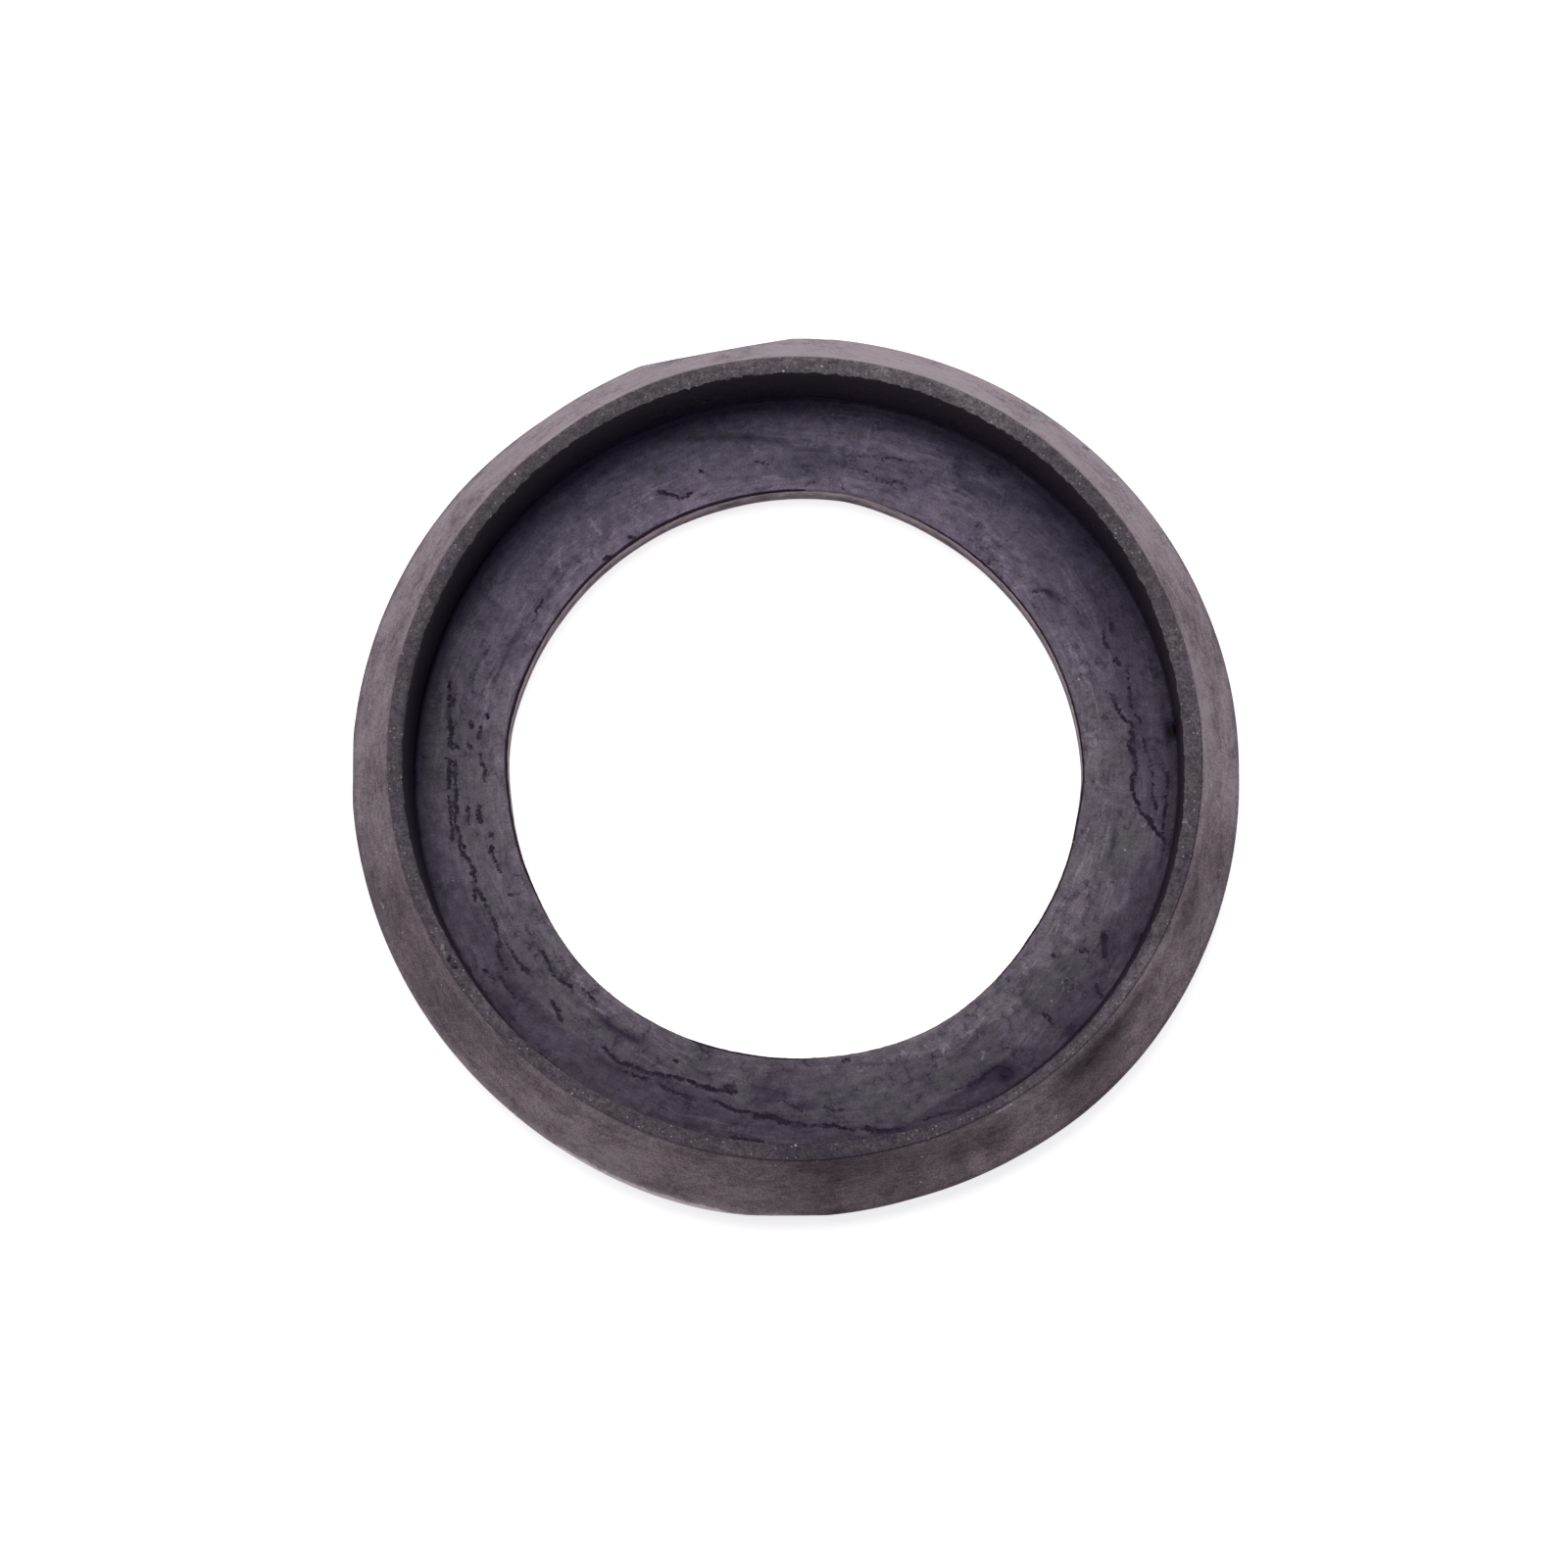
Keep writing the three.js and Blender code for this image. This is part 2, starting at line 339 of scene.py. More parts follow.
TONE_AND_LIGHT_PATCHES = soft_patches(
    (6.4, 40.6, 1.1, 0.9, -0.88), (-55.7, 39.5, 1.3, 1, -0.56), (-55.5, 39.5, 0.8, 0.6, -0.4),
    (-43.5, 40.4, 1.3, 1, -0.4), (-27.5, 38, 2, 1.2, -0.28), (-26.5, 40.5, 1, 0.5, -0.35),
    (-58.5, 38.4, 1.6, 0.7, -0.3), (-8.2, 38.4, 1.2, 0.5, -0.3), (-61.5, 40.4, 2.6, 0.5, -0.25),
    (-41, 36.2, 3.6, 1.8, -0.16), (-47.5, 35.2, 3, 1.4, 0.22), (-28, 33.6, 7, 1.6, 0.18),
    (-5, 34.4, 6, 1.2, 0.1), (78, 36.8, 4, 1, 0.14), (129, 34.6, 1, 1, 0.25), (-103.5, 39, 9, 1, -0.1),
    (-133, 40.4, 8, 0.7, -0.16), (30, 36, 30, 1.8, -0.1), (-150, 36, 14, 1.6, -0.07),
    (-55, 44.4, 3, 1.8, 0.35), (-65, 45.5, 4, 1.6, -0.25), (-29, 44.2, 4, 2, 0.2),
    (-30, 42.3, 4, 0.7, 0.35), (-50, 46.8, 4, 1.1, -0.24), (-20, 43.7, 3, 0.9, -0.18),
    (105, 34.5, 40, 4, 0.22), (-95, 36.5, 30, 9, -0.28), (32, 36.5, 14, 3, -0.2), (81, 36.2, 7, 2.5, 0.2),
    (-60, 36.5, 5, 2.5, -0.14), (81, 39.4, 7, 1.5, 0.24), (-160, 39.4, 22, 1.6, 0.14),
    (-100, 39.4, 9, 1.5, 0.24), (-140, 39.4, 9, 1.6, 0.14), (80, 36.5, 7, 3, 0.12),
    (20, 32.6, 14, 1.4, 0.08), (-140, 32.8, 9, 1.6, 0.12), (40, 42.1, 5, 0.8, -0.26),
    (-40, 42.5, 6, 0.8, 0.34), (20, 42.1, 6, 0.8, 0.14), (-40, 45.5, 7, 1, 0.12), (122, 46.2, 10, 3, 0.14),
    (100, 46.8, 6, 1.2, -0.3), (-48, 42.4, 24, 0.9, 0.28), (-15, 42.2, 5, 0.9, 0.12),
    (10, 39.4, 10, 1.5, 0.14), (72, 37.3, 6, 0.9, 0.14), (87, 34.4, 4, 1, -0.14), (-145, 42.1, 10, 1, 0.25),
    (90, 42.1, 5, 1, -0.14), (-51, 44.3, 4, 1.7, -0.25), (-20, 44.4, 9, 2.2, -0.34),
    (-60, 44.6, 6, 2.5, -0.28), (-80, 43.9, 10, 1.2, -0.2), (-160, 46, 9, 2.4, -0.25),
    (40, 46.2, 7, 3, 0.18), (180, 36, 8, 3, -0.1), (-42, 36, 7, 3, -0.15), (170, 41.1, 22, 0.5, -0.5),
    (4, 41.1, 14, 0.4, 0.12), (45, 47.2, 9, 0.6, 0.45), (70, 44, 14, 1.5, 0.15), (-38, 45.3, 20, 5, -0.2),
    (-140, 45.3, 8, 5, -0.14), (84, 45.3, 15, 5, 0.18), (7.5, 43.8, 2.2, 0.7, 0.4),
    (6, 45.3, 2.6, 0.8, -0.2), (-12, 46.4, 2.6, 1.2, -0.22), (-65.5, 46.5, 1.2, 1.6, 0.35),
    (-84, 45.3, 9, 5, -0.36), (-44, 44.4, 5.5, 2, -0.42), (-37, 43.7, 6, 0.8, -0.3),
    (-70, 45.3, 6, 5, -0.12), (-60, 46, 4, 3, 0.15), (22, 45.3, 10, 5, -0.16), (70, 45.3, 16, 5, 0.2),
    (170, 45.3, 22, 5, -0.16), (-150, 45.3, 12, 5, -0.24), (140, 40, 18, 2, -0.12),
    (-20, 39.4, 6, 1.5, -0.16), (-60, 39.4, 5, 1.5, 0.1), (-160, 39.4, 16, 1.5, 0.1),
    (80, 32.6, 6, 1.2, -0.14), (-60, 32.6, 6, 1.4, 0.13), (-20, 32.6, 6, 1.2, -0.1),
    (50, 41.1, 14, 0.4, 0.25), (40, 43.8, 6, 1, -0.12), (80, 43.8, 6, 1.2, 0.14), (180, 43.8, 5, 1, -0.12),
    (-140, 43.8, 6, 1, -0.14), (160, 42.1, 5, 0.8, 0.12),
)


@dataclass
class GasketRing:
    """The whole gasket: one moulded ring, turned from its section and then given its real surface."""

    section: RingSection
    around: int = 720
    creases: tuple[FlowLine, ...] = CREASES
    trails: tuple[FlowLine, ...] = TRAILS
    scratches_and_glint: tuple[FlowLine, ...] = SCRATCHES_AND_GLINT
    tone_and_light_patches: tuple[Patch, ...] = TONE_AND_LIGHT_PATCHES
    merge_distance: float = 0.0001
    corner_reach: float = 0.01
    long_share: float = 0.6
    middle_share: float = 0.2
    bevel_reach: float = 0.06
    piece: bpy.types.Object | None = field(default=None, init=False)

    def build(self) -> bpy.types.Object:
        """Model the ring and place it over the frame's node.

        Returns:
            The finished piece.
        """
        self._trace_section()
        self._round_corners()
        self._cut_sides()
        self._assign_zones()
        marks = (self.creases, self.trails, self.scratches_and_glint, self.tone_and_light_patches)
        RingSurface(self.section, self.piece.data, *marks).shape()
        bpy.ops.object.shade_smooth()
        bpy.ops.object.modifier_add(type="WEIGHTED_NORMAL")
        bpy.ops.object.modifier_apply(modifier=self.piece.modifiers[-1].name)
        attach(self.piece, "root")
        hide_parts("gasket_ring")
        return self.piece

    def _trace_section(self) -> None:
        """Draw a circle at the bore's bottom edge and extrude it round the section, back to its start."""
        sides = self.section.sides()
        start_radius = sides[0][0].radius * MM
        bpy.ops.object.select_all(action="DESELECT")
        bpy.ops.mesh.primitive_circle_add(vertices=self.around, radius=start_radius, fill_type="NOTHING")
        self.piece = bpy.context.active_object
        self.piece.name = "rubber_ring"
        self.piece.data.name = "rubber_ring"
        bpy.ops.object.mode_set(mode="EDIT")
        bpy.ops.mesh.select_mode(type="EDGE")
        bpy.ops.mesh.select_all(action="SELECT")
        for last, corner in sides:
            rise = (corner.height - last.height) * MM
            widen = corner.radius / last.radius
            bpy.ops.mesh.extrude_edges_move(TRANSFORM_OT_translate={"value": (0.0, 0.0, rise)})
            bpy.ops.transform.resize(value=(widen, widen, 1.0), center_override=(0.0, 0.0, 0.0))
        bpy.ops.mesh.select_all(action="SELECT")
        bpy.ops.mesh.remove_doubles(threshold=self.merge_distance * MM)
        bpy.ops.mesh.normals_make_consistent(inside=False)
        bpy.ops.object.mode_set(mode="OBJECT")

    def _round_corners(self) -> None:
        """Bevel every corner ring with the round that the mould gives it."""
        corners = self.section.corners()
        for index, (corner, after) in enumerate(self.section.sides()):
            turn = self._turn(corners[index - 1], corner, after)
            radius, height = self._edge_points()
            near = self.corner_reach
            at_corner = (abs(radius - corner.radius) < near) & (abs(height - corner.height) < near)
            self._select_edges(at_corner.all(axis=1))
            bpy.ops.mesh.bevel(
                affect="EDGES",
                offset_type="OFFSET",
                offset=corner.round * tan(turn / 2) * MM,
                segments=corner.segments,
            )
            bpy.ops.object.mode_set(mode="OBJECT")

    def _cut_sides(self) -> None:
        """Subdivide the long sides of the section, so that the relief has vertices to move."""
        for corner, after in self.section.sides():
            span = np.hypot(after.radius - corner.radius, after.height - corner.height)
            radius, height = self._edge_points()
            length = np.hypot(radius[:, 1] - radius[:, 0], height[:, 1] - height[:, 0])
            middle_radius = (corner.radius + after.radius) / 2
            middle_height = (corner.height + after.height) / 2
            off_middle = np.hypot(radius.mean(axis=1) - middle_radius, height.mean(axis=1) - middle_height)
            self._select_edges((length > span * self.long_share) & (off_middle < span * self.middle_share))
            bpy.ops.mesh.subdivide(number_cuts=corner.cuts)
            bpy.ops.object.mode_set(mode="OBJECT")

    def _assign_zones(self) -> None:
        """Give every face the material slot of the section's side that it lies nearest to."""
        mesh = self.piece.data
        for zone in Zone:
            mesh.materials.append(FINISHES[zone].material())
        centres = RingPlaces(read_rows(mesh.polygons, "center", 3) / MM)
        points = np.stack([centres.radius, centres.height], axis=1)
        nearest = np.full(len(points), np.inf)
        slots = np.zeros(len(points), dtype=np.int32)
        for corner, after in self.section.sides():
            ends = np.array([[corner.radius, corner.height], [after.radius, after.height]])
            distance = distance_to_stretch(points, ends[0], ends[1])
            distance -= self.bevel_reach * (corner.zone is Zone.BEVEL)
            closer = distance < nearest
            nearest[closer] = distance[closer]
            slots[closer] = corner.zone.value
        mesh.polygons.foreach_set("material_index", slots)

    def _edge_points(self) -> tuple[np.ndarray, np.ndarray]:
        """Read the radius and height of both ends of every edge.

        Returns:
            Two arrays with a row for each edge and a column for each end.
        """
        at = RingPlaces(read_rows(self.piece.data.vertices, "co", 3) / MM)
        ends = read_rows(self.piece.data.edges, "vertices", 2, np.int32)
        return at.radius[ends], at.height[ends]

    def _select_edges(self, chosen: np.ndarray) -> None:
        """Select edges in code and open edit mode on them.

        Args:
            chosen: True for each edge to select.
        """
        mesh = self.piece.data
        mesh.vertices.foreach_set("select", np.zeros(len(mesh.vertices), dtype=bool))
        mesh.polygons.foreach_set("select", np.zeros(len(mesh.polygons), dtype=bool))
        mesh.edges.foreach_set("select", chosen)
        bpy.ops.object.mode_set(mode="EDIT")
        bpy.ops.mesh.select_mode(type="EDGE")

    @staticmethod
    def _turn(before: Corner, corner: Corner, after: Corner) -> float:
        """Measure how far the section turns at a corner.

        Args:
            before: The corner before it.
            corner: The corner itself.
            after: The corner after it.

        Returns:
            The turn in radians, without its sign.
        """
        inward = Vector((corner.radius - before.radius, corner.height - before.height))
        onward = Vector((after.radius - corner.radius, after.height - corner.height))
        return inward.angle(onward)


def distance_to_stretch(points: np.ndarray, start: np.ndarray, end: np.ndarray) -> np.ndarray:
    """Measure how far points lie from a straight stretch.

    Args:
        points: Points, one row each.
        start: One end of the stretch.
        end: Its other end.

    Returns:
        The distance of each point.
    """
    run = end - start
    share = np.clip((points - start) @ run / (run @ run), 0.0, 1.0)
    return np.linalg.norm(points - start - share[:, None] * run, axis=1)


def soft_step(value: np.ndarray, low: float, high: float) -> np.ndarray:
    """Rise smoothly from 0 at `low` to 1 at `high`."""
    share = np.clip((value - low) / (high - low), 0.0, 1.0)
    return share * share * (3.0 - 2.0 * share)


def read_rows(items: Any, name: str, columns: int, kind: type = float) -> np.ndarray:
    """Read a property of every vertex, edge or face.

    Args:
        items: The vertices, edges or faces.
        name: The property's name.
        columns: How many numbers it has.
        kind: Their type.

    Returns:
        The numbers, one row for each item.
    """
    numbers = np.empty(len(items) * columns, dtype=kind)
    items.foreach_get(name, numbers)
    return numbers.reshape(-1, columns)


@dataclass
class RingPlaces:
    """Places on the ring, one row each, and the same places as radius, angle in degrees and height."""

    places: np.ndarray
    flat: np.ndarray = field(init=False)
    radius: np.ndarray = field(init=False)
    angle: np.ndarray = field(init=False)
    height: np.ndarray = field(init=False)

    def __post_init__(self) -> None:
        """Work out the radius, angle and height."""
        self.flat = self.places[:, :2]
        self.radius = np.hypot(self.places[:, 0], self.places[:, 1])
        self.angle = np.degrees(np.arctan2(self.places[:, 1], self.places[:, 0]))
        self.height = self.places[:, 2]


@dataclass
class RingSurface:
    """The uneven surface of the real ring, put into a mesh by vertex moves and point attributes.

    Seven attributes carry what the finishes paint. `crease`, `edge` and `scratch_and_glint` are 0.5 along
    the edges of the dark lines, of the dark lines along the ring's own edges and of the pale lines, and grow
    towards their middles; the pale lines are scratches and flecks, and a painted highlight along the widest
    edge. `shade` is 0.5 where nothing changes the skin's tone, and also carries painted shadow and painted
    highlights. `violet` and `pale` are 0.5 on the border of the violet and of the pale skin and grow
    inwards, and `pale_tone` is how pale the pale skin is.
    """

    section: RingSection
    mesh: bpy.types.Mesh
    creases: tuple[FlowLine, ...]
    trails: tuple[FlowLine, ...]
    scratches_and_glint: tuple[FlowLine, ...]
    tone_and_light_patches: tuple[Patch, ...]
    line_reach: float = 0.6
    wander: float = 0.16
    wander_scale: float = 1.1
    crease_depth: float = 0.05
    trail_strength: float = -0.30
    border_reach: float = 1.5
    # Radius from which the painted shadow beside the wall grows, out to the wall's foot
    painted_wall_shadow_start: float = 38.8
    bore_wall_band: float = -0.40
    bore_wall_band_height: float = 1.5
    # How near the seat's height a place has to be to count as on the seat
    seat_tolerance: float = 0.2
    # Radius from which the seat has its full relief
    seat_relief_start: float = 31.6
    # Scales of the waves, the ripples and the grit, in features for each millimetre
    wave_scale: float = 0.16
    ripple_scale: float = 0.75
    grit_scale: float = 2.6
    # Where the noise of the ripples and of the grit is read, so that the three differ
    ripple_offset: tuple[float, float, float] = (31.0, 7.0, 3.0)
    grit_offset: tuple[float, float, float] = (5.0, 19.0, 11.0)
    # How far the waves and the ripples move the seat and the bevel
    seat_waves: float = 0.05
    seat_ripples: float = 0.035
    bevel_waves: float = 0.07
    bevel_ripples: float = 0.03
    # How far the land is worn down everywhere, by the grit and by the ripples
    land_wear: float = 0.03
    land_grit: float = 0.05
    land_ripples: float = 0.03
    # How far the grit and the ripples move the mouth's edge and the bore's edge
    mouth_grit: float = 0.22
    mouth_ripples: float = 0.08
    bore_grit: float = 0.05
    bore_ripples: float = 0.03

    # How far the outer edge stands out from a true circle, at angles round the ring
    outer_shift: tuple[RingPoint, ...] = (
        (0, -0.06), (10, 0.05), (20, 0.07), (40, 0.11), (60, 0.13), (77, 0.16), (90, 0.3), (100, 0.26),
        (110, 0.28), (116, 0.05), (125, -0.12), (140, 0.18), (160, 0.22), (180, 0.2), (195, 0),
        (205, -0.07), (220, -0.12), (230, -0.09), (240, 0.06), (250, 0.3), (258, 0.38), (270, 0.24),
        (285, -0.08), (300, 0.04), (310, 0.26), (320, 0.32), (330, 0.24), (340, 0.15), (350, 0.05),
    )
    # How far the bore's edge stands out from a true circle, at angles round the ring
    bore_shift: tuple[RingPoint, ...] = (
        (-345, -0.22), (-330, -0.33), (-318, -0.4), (-300, -0.32), (-290, -0.13), (-280, 0.19),
        (-268, 0.03), (-255, -0.13), (-235, -0.1), (-215, -0.02), (-200, 0.18), (-190, 0.38), (-184, 0.32),
        (-175, 0.03), (-155, -0.12), (-140, 0.16), (-130, 0.25), (-115, 0.14), (-100, 0), (-85, 0.05),
        (-75, 0.21), (-65, 0.38), (-57, 0.36), (-45, 0.06), (-35, -0.2), (-20, -0.23), (-10, -0.29),
        (0, -0.03),
    )
    # How far the mouth of the recess and the rim's outer edge stand out from true circles
    mouth_shift: tuple[RingPoint, ...] = (
        (0, -0.25), (10, -0.3), (20, -0.22), (30, -0.1), (50, 0.08), (65, 0.17), (80, 0.15), (90, 0.05),
        (120, -0.05), (140, 0.03), (160, 0.1), (175, 0.22), (190, 0.32), (210, 0.25), (220, 0.38),
        (230, 0.3), (250, 0.02), (280, 0.05), (290, 0.5), (300, 0.88), (310, 0.85), (320, 0.75),
        (330, 0.55), (340, 0.42), (350, 0.15),
    )
    rim_shift: tuple[RingPoint, ...] = (
        (0, -0.08), (10, -0.2), (30, -0.25), (50, -0.15), (60, -0.05), (80, -0.05), (120, -0.15),
        (140, -0.18), (165, 0), (200, 0), (220, -0.05), (240, -0.12), (260, -0.12), (280, -0.02),
        (290, 0.1), (320, 0.15), (340, 0.15), (350, 0),
    )
    # Radius at which the darker violet skin starts, at angles round the ring
    violet_edge: tuple[RingPoint, ...] = (
        (-180, 38.8), (-170, 38.6), (-160, 37.6), (-150, 36.6), (-143, 36.8), (-133, 37), (-124, 36.8),
        (-112, 36), (-101, 36.6), (-94, 37.2), (-86, 38.2), (-75, 39.9), (-68, 38.8), (-60, 38.2),
        (-54, 38), (-46, 38.4), (-42, 37.5), (-34, 38.2), (-27, 37), (-20, 38), (-14, 38.2), (-10, 39.6),
        (-7, 37.4), (-3, 36.1), (3, 36.3), (8, 36.3), (12, 35.6), (22, 36.4), (35, 37.4), (48, 38),
        (60, 38.6), (72, 38.8), (84, 38.9), (95, 38.6), (104, 38.4), (112, 38.8), (118, 38.6), (130, 38.4),
        (146, 38.8), (158, 39.2), (168, 39), (174, 38.8),
    )
    # Radius at which the pale skin beside the bore ends and how pale it is, at angles round the ring
    pale_edge: tuple[RingPoint, ...] = (
        (-180, 32.2), (-150, 32.3), (-120, 32.3), (-100, 32), (-88, 32.1), (-80, 32.3), (-73, 32.6),
        (-68, 33.3), (-63, 34.1), (-60, 33.5), (-57, 33.5), (-54, 34.1), (-47, 34.4), (-44, 33),
        (-40, 32.6), (-36, 34.4), (-30, 34.6), (-20, 34.3), (-10, 33.6), (0, 33), (20, 32.6), (40, 32.3),
        (60, 32.2), (80, 32.2), (90, 32.2), (100, 33), (110, 32.8), (125, 33.2), (135, 32.4), (150, 32.4),
        (165, 32.2),
    )
    pale_tone: tuple[RingPoint, ...] = (
        (0, 0.2), (30, 0.2), (50, 0.15), (80, 0.1), (95, 0.2), (125, 0.22), (140, 0.3), (155, 0.2),
        (170, 0.12), (200, 0.12), (250, 0.14), (280, 0.12), (292, 0.3), (305, 0.4), (320, 0.34),
        (335, 0.22),
    )
    # Painted highlight, and painted shade where negative, on the last strip of the bevel, where it turns
    # under
    painted_edge_light: tuple[RingPoint, ...] = (
        (0, -0.3), (40, -0.2), (90, -0.1), (140, -0.3), (200, -0.2), (215, 0.35), (225, 0.45), (245, 0.7),
        (260, 0.6), (270, -0.1), (300, -0.3), (340, -0.25),
    )
    # Painted highlight on the band just outside the rim's edge, and painted shade where negative
    painted_rim_highlight: tuple[RingPoint, ...] = (
        (0, 0.25), (20, 0.05), (40, 0.05), (60, 0.2), (120, 0.2), (180, 0), (240, 0.05), (270, -0.1),
        (300, 0), (345, 0.2),
    )
    # Half widths of the dark line along the rim's outer edge and of the one along the bore's top edge
    rim_line: tuple[RingPoint, ...] = (
        (0, 0.07), (20, -0.05), (60, -0.3), (150, -0.3), (180, -0.1), (200, 0), (230, 0.03), (260, 0.06),
        (290, 0.08), (320, 0.06), (340, 0.08),
    )
    bore_line: tuple[RingPoint, ...] = (
        (0, 0.16), (40, 0.15), (60, 0.13), (70, 0.08), (78, -0.2), (84, -0.2), (89, 0.17), (100, 0.22),
        (125, 0.26), (135, 0.24), (150, 0.15), (165, 0.25), (200, 0.2), (212, 0.04), (220, -0.3),
        (240, -0.3), (250, 0.19), (270, 0.16), (285, -0.3), (306, -0.3), (315, 0.14), (330, 0.18),
    )
    # Painted shadow on the seat beside the wall, as a tone at angles round the ring
    painted_wall_shadow: tuple[RingPoint, ...] = (
        (0, -0.38), (45, -0.58), (90, -0.78), (135, -0.7), (180, -0.45), (225, -0.12), (270, 0.05),
        (315, -0.18),
    )
    # The straight flat on the far side: its middle's angle and how deep it cuts the widest edge
    flat_angle: float = 100.35
    flat_depth: float = 0.50
    flat_lean_degrees: float = 12.0
    flat_top: float = 9.0

    def shape(self) -> None:
        """Move the vertices and write the attributes."""
        section = self.section
        at = RingPlaces(read_rows(self.mesh.vertices, "co", 3) / MM)
        facing_up = self._on_seat(at) | (at.radius > section.mouth_radius + 0.05)
        crease = self._field(self._line_gap(self.creases, at, facing_up))
        beside_seat = (abs(at.height - section.seat_thickness) < 0.5) & (at.radius < section.mouth_radius)
        past_violet_edge = at.radius - self._round_table(at.angle, self.violet_edge)
        inside_pale_edge = self._round_table(at.angle, self.pale_edge) - at.radius
        self._write("crease", crease)
        self._write("edge", self._field(self._edge_line_gap(at)))
        self._write("scratch_and_glint", self._field(self._line_gap(self.scratches_and_glint, at, facing_up)))
        self._write("shade", 0.5 + 0.5 * np.clip(self._shade_field(at), -1.0, 1.0))
        self._write("violet", beside_seat * self._border(past_violet_edge))
        self._write("pale", beside_seat * self._border(inside_pale_edge))
        self._write("pale_tone", beside_seat * self._round_table(at.angle, self.pale_tone))

        lift, push = self._relief(at, crease)
        radius = at.radius + push + self._unevenness(at)
        turn = np.radians(at.angle)
        places = np.stack([radius * np.cos(turn), radius * np.sin(turn), at.height + lift], axis=1)
        places = self._inside_box(self._trim_flat(places))
        self.mesh.vertices.foreach_set("co", (places * MM).ravel())
        self.mesh.update()

    def _on_seat(self, at: RingPlaces) -> np.ndarray:
        """Tell which places are on the flat of the seat."""
        near_height = abs(at.height - self.section.seat_thickness) < self.seat_tolerance
        return near_height & (at.radius < self.section.floor_radius)

    def _line_gap(self, lines: tuple[FlowLine, ...], at: RingPlaces, chosen: np.ndarray) -> np.ndarray:
        """Find how far every vertex lies from the nearest of some lines, which wander a little.

        Args:
            lines: The lines.
            at: Places of the vertices.
            chosen: True for the vertices that the lines can mark.

        Returns:
            The distance from the line's edge, negative inside the line.
        """
        gap = np.full(len(at.flat), np.inf)
        flat = at.flat[chosen]
        wander = [noise.noise_vector(Vector((x, y, 0.0)) * self.wander_scale)[:2] for x, y in flat]
        points = flat + self.wander * np.array(wander)
        gap[chosen] = np.min([self._distance(points, one.path) - one.width / 2 for one in lines], axis=0)
        return gap

    def _field(self, gap: np.ndarray) -> np.ndarray:
        """Turn distances from lines into a field that is 0.5 along their edges and larger inside them."""
        return np.clip(0.5 - gap / (2 * self.line_reach), 0.0, 1.0)

    def _border(self, past: np.ndarray) -> np.ndarray:
        """Turn distances past a border into a field that is 0.5 on the border and 1 well past it."""
        return np.clip(0.5 + past / (2 * self.border_reach), 0.0, 1.0)

    def _edge_line_gap(self, at: RingPlaces) -> np.ndarray:
        """Find the distance to the thin dark lines along the rim's outer edge and the bore's top edge.

        Args:
            at: Places of the vertices.

        Returns:
            The distance of each vertex from the nearer line, less half the line's width.
        """
        section = self.section
        rim = np.hypot(at.radius - section.rim_outer_radius, at.height - section.rim_height)
        bore = np.hypot(at.radius - section.bore_radius - 0.1, at.height - section.seat_thickness + 0.1)
        rim -= self._round_table(at.angle, self.rim_line)
        bore -= self._round_table(at.angle, self.bore_line)
        return np.minimum(rim, bore)

    def _shade_field(self, at: RingPlaces) -> np.ndarray:
        """Add up the soft lines and patches that darken or pale the skin, with painted shadow and
        highlights.

        Args:
            at: Places of the vertices.

        Returns:
            How much paler, or if negative darker, the skin is.
        """
        section = self.section
        shade = np.zeros(len(at.flat))
        on_seat = self._on_seat(at)
        for trail in self.trails:
            distance = self._distance(at.flat[on_seat], trail.path)
            shade[on_seat] += self.trail_strength * np.exp(-((distance / trail.width) ** 2))
        upper = at.height > section.seat_thickness - 0.2
        upper_places = RingPlaces(at.places[upper])
        for patch in self.tone_and_light_patches:
            shade[upper] += self._patch_share(patch, upper_places)
        on_bore = (at.radius < section.bore_radius + 0.2) & (at.height < section.seat_thickness - 0.3)
        shade += on_bore * self.bore_wall_band * np.exp(-((at.height - self.bore_wall_band_height) ** 2))
        # Painted shadow on the seat at the foot of the recess wall
        painted_wall_shadow_share = (abs(at.height - section.seat_thickness) < 0.6) & (at.radius < section.mouth_radius)
        painted_wall_shadow_share = painted_wall_shadow_share * soft_step(at.radius, self.painted_wall_shadow_start, section.floor_radius)
        shade += painted_wall_shadow_share * self._round_table(at.angle, self.painted_wall_shadow)
        # Painted highlight and shade on the widest edge, where it turns under
        turned_under = soft_step(at.radius, section.widest_radius - 0.7, section.widest_radius - 0.1)
        shade += turned_under * self._round_table(at.angle, self.painted_edge_light)
        # Painted highlight on a band just outside the rim's edge, high on the bevel
        rim_highlight_band = np.exp(-(((at.radius - section.rim_outer_radius - 0.3) / 0.4) ** 2)) * (at.height > 14.0)
        return shade + rim_highlight_band * self._round_table(at.angle, self.painted_rim_highlight)

    def _relief(self, at: RingPlaces, crease: np.ndarray) -> tuple[np.ndarray, np.ndarray]:
        """Work out the small hills and hollows of the moulded skin.

        Args:
            at: Places of the vertices.
            crease: The crease field.

        Returns:
            How far each vertex moves up, and how far it moves out from the axis.
        """
        section = self.section
        waves = self._noise(at, self.wave_scale, (0.0, 0.0, 0.0))
        ripples = self._noise(at, self.ripple_scale, self.ripple_offset)
        grit = self._noise(at, self.grit_scale, self.grit_offset)

        seat_share = abs(at.height - section.seat_thickness) < self.seat_tolerance
        seat_share = seat_share * soft_step(at.radius, section.bore_radius, self.seat_relief_start)
        wall_foot = (section.floor_radius - 1.2, section.floor_radius - 0.5)
        seat_share = seat_share * (1.0 - soft_step(at.radius, *wall_foot))
        land_share = at.height > section.rim_height - 0.1
        bevel_share = (at.radius > section.rim_outer_radius) * soft_step(at.height, 4.0, 6.0)
        bevel_share = bevel_share * (1.0 - soft_step(at.height, 15.0, 15.9))

